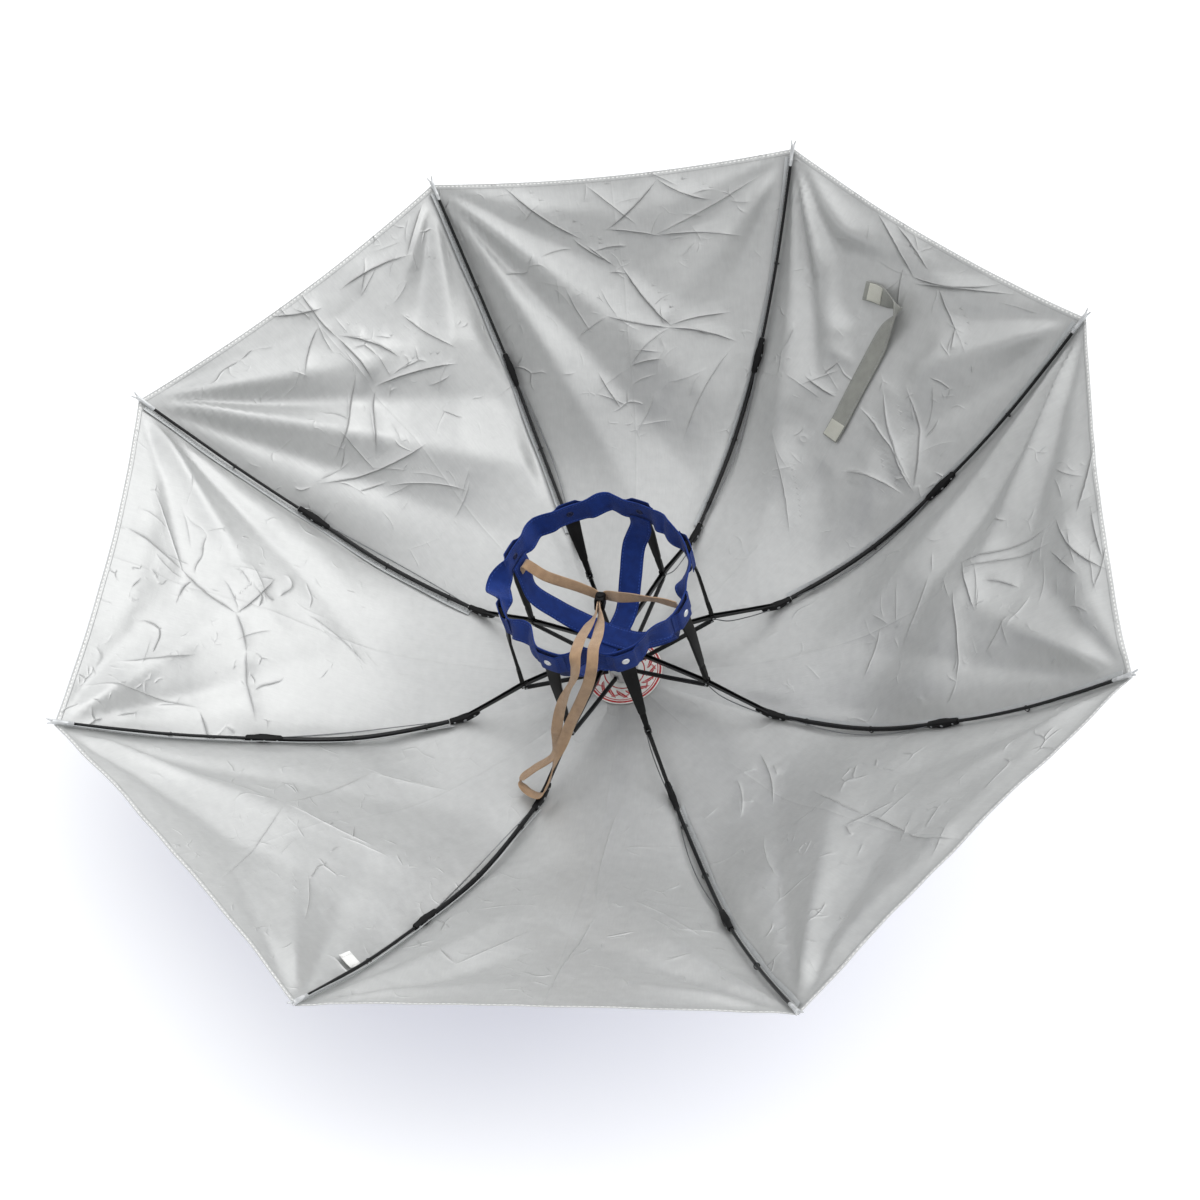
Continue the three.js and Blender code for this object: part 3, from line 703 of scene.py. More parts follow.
RUNNER_PLASTIC = moulded("runner_plastic", (12, 12, 13), (28, 28, 30), 0.42, 0.03, wear=(80, 80, 84))
CAP_PLASTIC = moulded("cap_plastic", (14, 15, 18), (30, 31, 35), 0.36, 0.02, wear=(84, 86, 90))
STUD_METAL = moulded("stud_metal", (18, 24, 52), (40, 50, 92), 0.34, 0.01, 0.5)
SNAP_ENAMEL = moulded("snap_enamel", (206, 208, 212), (236, 238, 240), 0.28, 0.01, 0.3)
BAND_CLOTH = blue_cloth("band_cloth", (52, 82, 168), (2.4, 22.6))
CROWN_STRAP_CLOTH = blue_cloth("crown_strap_cloth", (52, 82, 168), (2.0, 20.0))
SLEEVE_CLOTH = blue_cloth("sleeve_cloth", (12, 30, 96), (3.2, 24.4))
WEBBING = woven("tan_webbing", (124, 92, 66), (212, 178, 140), 0.78, 0.9, 0.12, twill=True,
                Sheen_Weight=0.3, Sheen_Roughness=0.5)
TIE_TAPE = woven("tie_tape", (116, 117, 112), (166, 167, 160), 0.55, 0.5,
                 stitch=((150, 152, 153), (1.6, 16.4)), Sheen_Weight=0.2)
HOOK_TAPE = woven("hook_tape", (206, 206, 192), (240, 240, 228), 0.85, 0.8, 0.3, Sheen_Weight=0.5)
LABEL_CLOTH = woven("label_cloth", (226, 226, 224), (248, 248, 246), 0.8, 0.4, 0.04,
                    stitch=((214, 214, 212), (1.0, 11.0)))
BLACK_THREAD = woven("black_thread", (12, 12, 13), (34, 34, 36), 0.8, 0.5, 0.08)
DISC_PRINT = disc_print("printed_disc")

# The canopy
GORE_COLUMNS = 54
GORE_ROWS = 112
SHEET_WALL = 0.5
SMALL_CREASES = (38, 26, 24, 12, 8, 8, 16, 38)
MESH_CREASE = 1.1
TIP_FOLD_GAIN = 1.7
BUCKLE_HEIGHT = 2.2

# Folds that run out from a rim tip over the gore on its left (1) or right (-1): degrees from the rib,
# half width in degrees, height in mm toward the outside, distance of its peak
TIP_FOLDS = {
    (1, 1): [(9, 4.0, -4.0, 150), (18, 4.5, 5.0, 140), (29, 5.0, -4.5, 130), (42, 6.0, 3.5, 100),
        (58, 7.0, -2.0, 80)],
    (1, -1): [(14, 5.0, -2.6, 100), (26, 5.0, 2.6, 90), (40, 6.0, -2.6, 80), (55, 6.0, 2.0, 70)],
    (2, 1): [(8, 3.6, -3.6, 130), (17, 4.0, 5.2, 130), (27, 4.5, -5.2, 120), (38, 5.0, 4.6, 110),
        (52, 6.0, -2.6, 90)],
    (2, -1): [(12, 5.0, 3.2, 110), (25, 6.0, -3.4, 100), (40, 7.0, 2.8, 90), (56, 7.0, -1.6, 80)],
    (3, 1): [(10, 4.5, -4.2, 130), (21, 4.5, 4.6, 130), (32, 5.0, -4.2, 110), (46, 6.0, 3.0, 90)],
    (3, -1): [(14, 6.0, 4.4, 130), (30, 7.0, -4.4, 120), (48, 7.0, 3.2, 90)],
    (4, 1): [(16, 5.0, 2.4, 90), (34, 7.0, -2.4, 80)],
    (4, -1): [(12, 4.5, 3.4, 110), (26, 5.5, -4.2, 110), (42, 6.5, 3.4, 90), (58, 7.0, -2.0, 70)],
    (5, 1): [(14, 5.0, -2.6, 100), (28, 6.0, 3.0, 90), (46, 7.0, -2.0, 70)],
    (5, -1): [(12, 4.0, 3.4, 120), (24, 5.0, -3.6, 110), (40, 7.0, 2.4, 80)],
    (6, 1): [(16, 6.0, 2.6, 90), (34, 7.0, -2.6, 80), (54, 7.0, 1.6, 70)],
    (6, -1): [(14, 5.0, -2.8, 90), (30, 6.0, 3.0, 80), (50, 7.0, -2.0, 70)],
    (7, 1): [(14, 5.0, 2.6, 90), (32, 8.0, -2.8, 90), (52, 7.0, 1.8, 70)],
    (7, -1): [(14, 5.0, 3.2, 110), (28, 6.0, -4.0, 110), (46, 7.0, 3.0, 90)],
    (8, 1): [(12, 4.5, 5.2, 150), (23, 4.5, -5.6, 150), (34, 4.5, 5.6, 130), (45, 5.0, -4.0, 100),
        (60, 6.0, 2.0, 80)],
    (8, -1): [(14, 5.0, 3.4, 110), (28, 6.0, -3.4, 100), (46, 7.0, 2.4, 80)],
}

# The tie strap's path on its gore: share from the crown, share across, lift in mm, twist in degrees
TIE_GORE = 2
TIE_STATIONS = [
    (0.8555, 0.362, 2.9, 0), (0.862, 0.4, 3.2, 0), (0.8655, 0.445, 5.7, 25), (0.868, 0.505, 10.2, 80),
    (0.847, 0.509, 8.6, 60), (0.815, 0.493, 5.2, 20), (0.775, 0.489, 3.4, 0), (0.6793, 0.483, 2.7, 0),
    (0.6211, 0.4857, 2.5, 0), (0.59, 0.484, 2.3, 0),
]

# How far the cloth of gore k rises into the hollow, in mm: beside rib k, beside rib k + 1
EDGE_ROLLS = [(22, 8), (19, 8), (9, 18), (10, 12), (7, 2), (4, 6), (8, 14), (18, 10)]
EDGE_ROLL_RISE = 22
EDGE_ROLL_REACH = 110
SEAM_LAND = 5
STRIP_LAND = 9

# Sharp creases by gore: where each starts and ends as share from the crown and share across, height in mm
CREASES = {
    1: [(0.99, 0.2, 0.885, 0.385, 1.5), (0.9, 0.47, 0.985, 0.63, 1.3), (0.985, 0.63, 0.935, 0.78, 1.0),
        (0.965, 0.92, 0.88, 0.61, 0.9), (0.9, 0.47, 0.88, 0.62, 0.9), (0.88, 0.62, 0.86, 0.88, 0.8),
        (0.885, 0.36, 0.84, 0.45, 1.1), (0.87, 0.4, 0.83, 0.47, 1.1), (0.86, 0.42, 0.865, 0.52, 0.9),
        (0.825, 0.5, 0.705, 0.66, 1.6), (0.73, 0.43, 0.7, 0.655, 1.1), (0.7, 0.655, 0.665, 0.9, 1.0),
        (0.73, 0.43, 0.69, 0.3, 0.8), (0.705, 0.66, 0.72, 0.86, 0.8), (0.7, 0.66, 0.63, 0.5, 0.7),
        (0.62, 0.36, 0.55, 0.44, 0.8), (0.66, 0.9, 0.48, 0.74, 0.7), (0.985, 0.43, 0.905, 0.56, 0.8),
        (0.79, 0.3, 0.7, 0.36, 0.7), (0.63, 0.5, 0.64, 0.62, 0.8), (0.58, 0.6, 0.5, 0.5, 0.5)],
    2: [(0.99, 0.33, 0.925, 0.5, 1.4), (0.99, 0.4, 0.95, 0.54, 1.3), (0.925, 0.5, 0.985, 0.74, 1.3),
        (0.915, 0.51, 0.985, 0.8, 1.0), (0.93, 0.6, 0.885, 0.7, 1.0), (0.885, 0.7, 0.85, 0.74, 0.8),
        (0.6, 0.93, 0.72, 0.58, 1.3), (0.6, 0.93, 0.75, 0.66, 1.2), (0.61, 0.9, 0.67, 0.52, 1.0),
        (0.585, 0.9, 0.555, 0.62, 0.9), (0.66, 0.27, 0.66, 0.41, 1.1), (0.93, 0.46, 0.86, 0.49, 0.9),
        (0.88, 0.13, 0.82, 0.17, 0.9), (0.52, 0.25, 0.4, 0.6, 0.5), (0.78, 0.74, 0.7, 0.8, 0.6)],
    3: [(0.995, 0.38, 0.955, 0.52, 1.3), (0.91, 0.5, 0.99, 0.71, 1.5), (0.98, 0.54, 0.99, 0.68, 1.0),
        (0.69, 0.42, 0.9, 0.5, 1.0), (0.7, 0.46, 0.89, 0.55, 0.8), (0.75, 0.55, 0.81, 0.62, 1.0),
        (0.89, 0.58, 0.945, 0.7, 1.1), (0.7, 0.43, 0.73, 0.65, 1.0), (0.69, 0.55, 0.675, 0.87, 0.9),
        (0.62, 0.4, 0.55, 0.62, 0.6), (0.8, 0.72, 0.74, 0.8, 0.7), (0.5, 0.5, 0.46, 0.72, 0.5)],
    4: [(0.72, 0.47, 0.52, 0.42, 0.7), (0.72, 0.47, 0.85, 0.5, 0.9), (0.85, 0.5, 0.98, 0.5, 0.8),
        (0.74, 0.4, 0.7, 0.53, 0.8), (0.86, 0.4, 0.88, 0.47, 0.6), (0.33, 0.33, 0.45, 0.55, 0.6),
        (0.66, 0.78, 0.52, 0.7, 0.5), (0.6, 0.44, 0.56, 0.6, 0.6), (0.42, 0.7, 0.34, 0.56, 0.5)],
    5: [(0.3, 0.4, 0.62, 0.42, 0.4), (0.62, 0.42, 0.99, 0.5, 0.5), (0.62, 0.2, 0.7, 0.1, 0.5),
        (0.64, 0.24, 0.72, 0.16, 0.5), (0.68, 0.62, 0.8, 0.78, 0.4), (0.58, 0.3, 0.66, 0.14, 0.4)],
    6: [(0.72, 0.62, 0.95, 0.4, 0.5), (0.72, 0.62, 0.5, 0.75, 0.5), (0.72, 0.62, 0.62, 0.35, 0.5),
        (0.72, 0.62, 0.92, 0.88, 0.5), (0.86, 0.2, 0.78, 0.34, 0.4), (0.5, 0.75, 0.4, 0.5, 0.3)],
    7: [(0.745, 0.45, 0.69, 0.63, 0.8), (0.745, 0.45, 0.86, 0.55, 0.9), (0.86, 0.55, 0.98, 0.6, 0.8),
        (0.745, 0.45, 0.71, 0.33, 0.8), (0.71, 0.33, 0.66, 0.08, 0.7), (0.86, 0.55, 0.94, 0.74, 0.6),
        (0.93, 0.2, 0.8, 0.27, 0.6), (0.98, 0.12, 0.76, 0.1, 0.6), (0.62, 0.55, 0.48, 0.4, 0.4)],
    8: [(1.0, 0.52, 0.89, 0.52, 1.1), (0.89, 0.52, 0.78, 0.52, 1.2), (0.89, 0.53, 0.79, 0.64, 1.3),
        (0.77, 0.52, 0.71, 0.8, 1.2), (0.85, 0.73, 0.735, 0.83, 0.8), (0.96, 0.62, 0.93, 0.84, 1.3),
        (0.985, 0.95, 0.93, 0.83, 1.0), (0.995, 0.42, 0.955, 0.53, 1.3), (0.87, 0.36, 0.93, 0.5, 0.8),
        (0.82, 0.5, 0.7, 0.22, 0.9), (0.68, 0.12, 0.62, 0.52, 1.0), (0.77, 0.52, 0.66, 0.34, 0.9),
        (0.74, 0.3, 0.64, 0.3, 0.7), (0.6, 0.3, 0.5, 0.55, 0.6)],
}


def gore_flat(k, s, u):
    """Flat place on a gore: mm across from its middle line and mm from the crown."""
    _, _, width = cloth_frame(k, s, u)
    return (u - 0.5) * width, s * CLOTH_LENGTH


def tip_fold_height(k, across, down, width):
    """The folds at the two rim corners of gore k."""
    height = np.zeros_like(across)
    half_corner = width.max() / 2
    lean = math.atan2(half_corner, CLOTH_LENGTH)
    y = CLOTH_LENGTH - down
    for tip, side in ((k, 1), (k % RIB_COUNT + 1, -1)):
        x = half_corner + side * across
        from_rib = np.arctan2(x, np.maximum(y, 1e-3)) - lean
        distance = np.hypot(x, y)
        for degrees, spread, high, reach in TIP_FOLDS[tip, side]:
            half_width = np.maximum(distance * math.radians(spread), 4.0)
            sideways = distance * (from_rib - math.radians(degrees))
            away = distance / reach
            along = away * np.exp(1 - away) * smoothstep(distance, 4, 45)
            height += TIP_FOLD_GAIN * high * along * np.exp(-(np.abs(sideways / half_width) ** 1.5))
    return height


def edge_roll(k, across, down, width):
    """Height of the cloth where its tension lifts it off the ribs into the hollow."""
    left, right = EDGE_ROLLS[k - 1]
    rise = 0
    for high, from_seam in ((left, across + width / 2 - SEAM_LAND), (right, width / 2 - across - STRIP_LAND)):
        away = np.maximum(from_seam, 0)
        rise = rise + high * (1 - np.exp(-away / EDGE_ROLL_RISE)) * np.exp(-away / EDGE_ROLL_REACH)
    share = down / CLOTH_LENGTH
    return -rise * smoothstep(share, 0.35, 0.68) * smoothstep(share, 1.0, 0.93)


def under_tie_strap(across, down):
    """1 where the tie strap lies on the cloth, falling to 0 about it."""
    nearest = np.full_like(across, 1e3)
    for s, u, *_ in TIE_STATIONS:
        x, y = gore_flat(TIE_GORE, np.array(s), np.array(u))
        nearest = np.minimum(nearest, np.hypot(across - float(x), down - float(y)))
    return smoothstep(nearest, 62, 27)


def crease_field(across, down, start, end, bow):
    """Signed distance to a slightly bowed crease, and how much of it is left there: it fades at its ends."""
    direction = end - start
    length = np.linalg.norm(direction)
    direction = direction / length
    x = across - start[0]
    y = down - start[1]
    along = (x * direction[0] + y * direction[1]) / length
    side = x * direction[1] - y * direction[0] - bow * length * 4 * along * (1 - along)
    ends = smoothstep(along, -0.05, 0.25) * smoothstep(along, 1.05, 0.75)
    return side, ends


def small_creases(k, main, chance):
    """Short creases scattered about the long ones of a gore."""
    made = []
    for _ in range(SMALL_CREASES[k - 1]):
        start, end, high = chance.choice(main)
        middle = lerp(start, end, chance.uniform(-0.1, 1.1)) + [chance.gauss(0, 14), chance.gauss(0, 14)]
        along = math.atan2(*(end - start)[::-1]) + chance.choice((0.0, 0.0, 0.9, -0.9, 1.4))
        along += chance.gauss(0, 0.25)
        half = chance.uniform(6, 24) * np.array([math.cos(along), math.sin(along)])
        made.append((middle - half, middle + half, high * chance.uniform(0.25, 0.55)))
    return made


def widened(mask, times):
    for _ in range(times):
        grown = mask.copy()
        grown[1:] |= mask[:-1]
        grown[:-1] |= mask[1:]
        grown[:, 1:] |= mask[:, :-1]
        grown[:, :-1] |= mask[:, 1:]
        mask = grown
    return mask


def gore_creases(k, across, down):
    """The creases of a gore in layers of distance and height, where no two of one layer meet, and their
    soft height in the mesh."""
    chance = random.Random(40 + k)
    main = []
    for s1, u1, s2, u2, high in CREASES[k]:
        ends = [np.array(gore_flat(k, np.array(s), np.array(u)), float) for s, u in ((s1, u1), (s2, u2))]
        main.append((*ends, high))
    layers = [{"distance": np.full_like(across, 40.0), "height": np.zeros_like(across),
               "taken": np.zeros(across.shape, bool)} for _ in CREASE_LAYERS]
    soft = np.zeros_like(across)
    for start, end, high in main + small_creases(k, main, chance):
        side, left = crease_field(across, down, start, end, chance.uniform(-0.07, 0.07))
        strength = high * left * smoothstep(np.abs(side), 15, 8)
        zone = strength > 0.01
        for layer in layers:
            if not (layer["taken"] & widened(zone, 2)).any():
                near = widened(zone, 1)
                layer["distance"] = np.where(near, side, layer["distance"])
                layer["height"] += strength
                layer["taken"] |= near
                soft += high * left * np.exp(-np.maximum(side / 5, -side / 11))
                break
    return layers, soft


def soft_buckles(k, across, down):
    """Slow unevenness of the cloth in its outer half."""
    values = []
    for x, y in zip(across.ravel(), down.ravel()):
        broad = noise.noise(Vector((x / 85 + 9 * k, y / 110, 3.7 * k)))
        values.append(broad + 0.5 * noise.noise(Vector((x / 34, y / 48 + 5 * k, k))))
    out = np.array(values).reshape(across.shape) * BUCKLE_HEIGHT
    return out * smoothstep(down, 0.3 * CLOTH_LENGTH, 0.75 * CLOTH_LENGTH)


def gore_sheet(k):
    """Middle surface of one gore with its folds, and the flat values that its material uses."""
    rows = np.concatenate([np.linspace(0, 0.34, 25)[:-1], np.linspace(0.34, 1, GORE_ROWS - 23)])
    columns = np.linspace(0, 1, GORE_COLUMNS + 1)
    columns = lerp(columns, (1 - np.cos(np.pi * columns)) / 2, 0.35)
    s, u = np.meshgrid(rows, columns, indexing="ij")
    point, outward, width = cloth_frame(k, s, u)
    across = (u - 0.5) * width
    down = s * CLOTH_LENGTH
    free = smoothstep(u * width, 0, 16) * smoothstep((1 - u) * width, STRIP_LAND, STRIP_LAND + 16)
    layers, soft = gore_creases(k, across, down)
    lift = tip_fold_height(k, across, down, width) + soft_buckles(k, across, down) - soft * MESH_CREASE
    lift = lift * free + edge_roll(k, across, down, width)
    if k == TIE_GORE:
        lift = lerp(lift, np.maximum(lift, 0), under_tie_strap(across, down))
    point = point + outward * (lift + CLOTH_WALL / 2)[..., None]
    point = press_to_floor(point, SHEET_WALL)
    flats = {"flat": np.stack([across + GORE_SHIFT * k, down], axis=-1)}
    for name, layer in zip(CREASE_LAYERS, layers):
        flats[name] = np.stack([layer["distance"], layer["height"]], axis=-1)
    return point, outward, flats


def canopy():
    """All eight gores as one sheet with a silver inner face and a blue outer face."""
    gores = [gore_sheet(k) for k in range(1, RIB_COUNT + 1)]
    rows = gores[0][0].shape[0]
    points = np.concatenate([gore[0][:, :-1] for gore in gores], axis=1)
    outward = np.concatenate([gore[1][:, :-1] for gore in gores], axis=1)
    total_columns = points.shape[1]
    inner = points - outward * SHEET_WALL / 2
    outer = press_to_floor(points + outward * SHEET_WALL / 2, 0.05)
    vertices = to_world(np.concatenate([inner.reshape(-1, 3), outer.reshape(-1, 3)]))
    i, j = np.meshgrid(np.arange(rows - 1), np.arange(total_columns), indexing="ij")
    a = (i * total_columns + j).ravel()
    b = (i * total_columns + (j + 1) % total_columns).ravel()
    c = b + total_columns
    d = a + total_columns
    inner_faces = np.stack([a, b, c, d], axis=-1)
    shift = rows * total_columns
    outer_faces = np.stack([a, d, c, b], axis=-1) + shift
    around = np.arange(total_columns)
    after = (around + 1) % total_columns
    rim = (rows - 1) * total_columns
    edge = np.stack([after + shift, around + shift, around, after], axis=-1)
    rim_faces = rim + edge
    crown_faces = edge[:, (1, 0, 3, 2)]
    faces = np.concatenate([inner_faces, outer_faces, rim_faces, crown_faces])
    mesh = bpy.data.meshes.new("canopy")
    mesh.from_pydata(vertices.tolist(), [], faces.tolist())
    counts = [len(part) for part in (inner_faces, outer_faces, rim_faces, crown_faces)]
    mesh.polygons.foreach_set("material_index", np.repeat([0, 1, 0, 1], counts))
    for name in ("flat", *CREASE_LAYERS):
        left = np.concatenate([gore[2][name][:, :-1] for gore in gores], axis=1)
        right = np.concatenate([gore[2][name][:, 1:] for gore in gores], axis=1)
        inner_uv = np.stack([left[:-1], right[:-1], right[1:], left[1:]], axis=2).reshape(-1, 4, 2)
        outer_uv = inner_uv[:, (0, 3, 2, 1)]
        edge_uv = np.zeros((len(rim_faces) + len(crown_faces), 4, 2))
        layer = mesh.uv_layers.new(name=name)
        layer.data.foreach_set("uv", np.concatenate([inner_uv, outer_uv, edge_uv]).ravel())
    mesh.polygons.foreach_set("use_smooth", [True] * len(mesh.polygons))
    mesh.materials.append(SILVER)
    mesh.materials.append(BLUE_OUTSIDE)
    mesh.update()
    mesh.validate()
    piece = bpy.data.objects.new("canopy", mesh)
    bpy.context.scene.collection.objects.link(piece)
    return finish_piece(piece, [f"canopy_panel_{k}" for k in range(1, RIB_COUNT + 1)])


def gore_area():
    """Flat area of one gore in square metres."""
    s = np.linspace(0, 1, 200)
    widths = [cloth_frame(k, s, np.full_like(s, 0.5))[2] for k in range(1, RIB_COUNT + 1)]
    return float(np.mean(np.trapz(np.array(widths), s * CLOTH_LENGTH, axis=1))) / 1e6


# How steeply each seam's edges stand up from the cloth, in degrees, ribs 1 to 8
STRIP_RISE = (42, 50, 50, 34, 36, 62, 62, 28)
# How far each seam's foot lies inside the ribs' cloth line, in mm, ribs 1 to 8
STRIP_FOOT = (1.05, 1.15, 1.5, 0.75, 0.75, 0.75, 0.75, 0.75)


STRIP_WIDTH = 6.6
# Outline of a folded edge: distance from its foot and half its thickness there, in mm
STRIP_OUTLINE = [(0.0, 0.2), (1.6, 0.2), (4.2, 0.2), (STRIP_WIDTH, 0.16), (STRIP_WIDTH, -0.16), (4.2, -0.2),
                 (1.6, -0.2)]


def seam_strip(k):
    """The sewn edges of two gores, which lie folded to one side along the rib."""
    s = np.linspace(0.3, 0.985, 190)
    r, z, tr, tz = profile_at(s)
    wave = np.sin(s * 61 + k) * 0.25 + np.sin(s * 23 + 2 * k) * 0.35
    rise = math.radians(STRIP_RISE[k - 1]) * smoothstep(s, 0.2, 0.4)
    wide = 6.2 + 0.5 * np.sin(s * 37 + k)
    rings = []
    for along, wall in STRIP_OUTLINE:
        share = along / STRIP_WIDTH
        side = -1.3 - share * wide * np.cos(rise) + wall * np.sin(rise)
        lift = STRIP_FOOT[k - 1] + share * wide * np.sin(rise) + wall * np.cos(rise) + 0.45 * wave * share
        rings.append(on_rib(k, r + tz * lift, z - tr * lift, side))
    shape = Shape()
    shape.tube(np.stack(rings, axis=1), flats=[along for along, _ in STRIP_OUTLINE])
    shape.build(f"seam_strip_{k}", [SEAM_CLOTH], sharp=60)


# The ribs' parts
RIB_MATERIALS = [STEEL, NYLON, WIRE_STEEL, RIVET_STEEL]


def stretcher(k):
    shape = Shape()
    bar = [(RUNNER_RADIUS + GAP, 194.5, 4, 3.6), (TEE[0], TEE[1], 4.2, 4), (128, 213.6, 3.6, 3.6),
           (INNER_JOINT[0], INNER_JOINT[1] - 1.2, 3.6, 3.6)]
    shape.tube(rib_bar(k, bar, lambda w, h: channel_section(w, h, opening=-1), 4), 0)
    joint = [(143, 220.4, 3.6, 4.0), (145.5, 220.9, 5.0, 5.4), (152, 222.4, 5.6, 5.8),
             (156, 222.8, 6.2, 6.4), (161, 222.8, 6.2, 6.4), (165, 222.2, 5.4, 5.6),
             (171.5, 220.9, 5.0, 5.2), (172.6, 220.7, 4.0, 4.2)]
    shape.tube(rib_bar(k, joint, lambda w, h: rounded_section(w, h, 1.1)), 1)
    route = [(90, 202.8, 1.2), (96, 206, 2.0), (108, 214.5, 3.4), (128, 219.5, 3.6), (150, 222.8, 2.6)]
    points = [on_rib(k, r, z, side) for r, z, side in route]
    shape.tube(wire(spline(points, 40), 1.1), 2)
    for r, z, reach, radius in ((INNER_JOINT[0], INNER_JOINT[1] - 0.8, 3.3, 1.7), (168.5, 221.3, 2.7, 1.1),
                                (148.5, 221.5, 2.8, 1.1)):
        rib_pin(shape, k, r, z, reach, radius, 3)
    shape.build(f"stretcher_bar_{k}", RIB_MATERIALS, [f"stretcher_{k}"])


def hub_link(k):
    shape = Shape()
    bar = [(HUB_RADIUS + 3 * GAP, 231, 3.4, 3.2), (55, 220.5, 3.4, 3.4),
           (TEE[0] - 1.5, TEE[1] + 4.9, 3.4, 3.4)]
    shape.tube(rib_bar(k, bar, lambda w, h: channel_section(w, h, opening=1), 5), 0)
    rib_pin(shape, k, TEE[0] - 3.2, TEE[1] + 5.3, 1.9, 1.1, 1)
    shape.build(f"hub_link_bar_{k}", [STEEL, RIVET_STEEL], [f"hub_link_{k}"])


def middle_rib(k):
    shape = Shape()
    start = 174.2
    end = OUTER_JOINT[0] + 14
    spots = np.linspace(start, end - 8, 40)
    r, z = rib_line(spots)
    shape.tube(rib_bar(k, [(a, b, 3.2, 3.4) for a, b in zip(r, z)], channel_section), 0)
    spots = np.linspace(start + 3, OUTER_JOINT[0] - 8, 40)
    bow = np.sin(np.linspace(0, np.pi, 40))
    r, z = rib_line(spots)
    shape.tube(wire(on_rib(k, r, z, 1 + 6 * bow), 1.0), 2)
    spans = [(-14, 3.4, 3.6), (-12.5, 4.8, 5.0), (-6, 5.4, 5.6), (-2, 6.0, 6.6), (3, 6.0, 6.6), (7, 5.2, 5.4),
             (13, 4.8, 5.0), (14, 3.6, 3.8)]
    block = []
    for shift, high, wide in spans:
        r, z = rib_line(OUTER_JOINT[0] + shift)
        block.append((float(r), float(z), high, wide))
    shape.tube(rib_bar(k, block, lambda w, h: rounded_section(w, h, 1.1)), 1)
    for shift, reach in ((0.5, 3.35), (-9.5, 2.6), (10.0, 2.6)):
        r, z = rib_line(OUTER_JOINT[0] + shift)
        rib_pin(shape, k, float(r), float(z), reach, 1.5 if shift == 0.5 else 1.0, 3)
    shape.build(f"middle_rib_bar_{k}", RIB_MATERIALS, [f"middle_rib_{k}"])


def tip_rod(k):
    shape = Shape()
    spots = np.linspace(OUTER_JOINT[0] + 14 + GAP, 468, 30)
    r, z = rib_line(spots)
    shape.tube(wire(on_rib(k, r, z), 2.9, 12), 0)
    base = np.array(rib_line(458.0))
    top = np.array(rib_line(474.0))
    direction = (top - base) / np.linalg.norm(top - base)

    def at(distance):
        r, z = top + direction * distance
        return float(r), float(z)

    sleeve = [(-15, 2.6), (-14.4, 3.3), (-10, 3.5), (-9.6, 3.9), (-8.4, 3.9), (-8, 3.5), (-1, 3.8), (2, 4.3),
              (4.5, 4.2), (5.6, 3.4)]
    rows = [(*at(distance), width, width) for distance, width in sleeve]
    shape.tube(rib_bar(k, rows, lambda w, h: round_section(w, 16)), 1)
    prong = ((4.2, 1.9, 0.8), (6.5, 1.8, 1.5), (8.6, 1.7, 2.2), (9.8, 1.1, 2.6))
    for side in (-1, 1):
        rows = [(*at(distance), high, high, side * spread) for distance, high, spread in prong]
        shape.tube(rib_bar(k, rows, lambda w, h: round_section(w, 10)), 1)
    shape.build(f"tip_rod_with_cap_{k}", [STEEL, TIP_PLASTIC], [f"tip_rod_{k}"])


def band_post(k):
    """The arm that carries the head band, with a fork at its foot that holds the stretcher."""
    shape = Shape()
    face = BAND_RADIUS + BAND_WALL / 2 + GAP
    r, z = TEE
    arm = [(r - 1.4, z - 3.4, 3.6, 4.4), (r - 1.9, 192, 4.2, 5.0), (r - 2.6, 180, 4.0, 6.0),
           (r - 3.0, 176, 3.2, 6.0), (r - 3.0, 172, 3.2, 7.5), (r - 5, 130, 2.6, 12),
           (face + 1.4, 110, 2.4, 14), (face + 1.2, 88, 2.4, 14), (face + 1.2, 86.2, 2.0, 12)]
    shape.tube(rib_bar(k, arm, lambda w, h: rounded_section(w, h, 0.8), 3), 0)
    for side in (-1, 1):
        plate = [(r - 1.6, z - 5.0, 0.7, 2.8, side * 2.65), (r - 1.2, z + 2.2, 0.7, 2.8, side * 2.65)]
        shape.tube(rib_bar(k, plate, lambda w, h: rounded_section(h, w * 1.6, 0.3), 2), 0)
    rib_pin(shape, k, r - 1.2, z - 0.2, 2.9, 1.3, 1)
    shape.build(f"band_post_arm_{k}", [NYLON, RIVET_STEEL], [f"band_post_{k}"])


def rib_threads(k):
    """Black thread that ties the cloth's seam to the ribs."""
    shape = Shape()
    for r, radius in ((196, 3.0), (262, 3.0), (402, 2.6)):
        rr, zz = rib_line(float(r))
        tr, tz = (np.interp(r, PROFILE[:, 0], PROFILE_TANGENT[:, i]) for i in (0, 1))
        for turn in (-0.5, 0.4):
            a = np.linspace(0, 2 * np.pi, 25)[:-1]
            up = 1.2 + radius * np.cos(a)
            side = radius * 0.85 * np.sin(a) + turn * 0.6
            loop = on_rib(k, rr - tz * up + tr * turn, zz + tr * up + tz * turn, side)
            rings = wire(np.vstack([loop, loop[:1]]), 0.5, 6)
            shape.tube(rings[:-1], 0, closed=True)
    shape.build(f"rib_threads_{k}", [BLACK_THREAD])


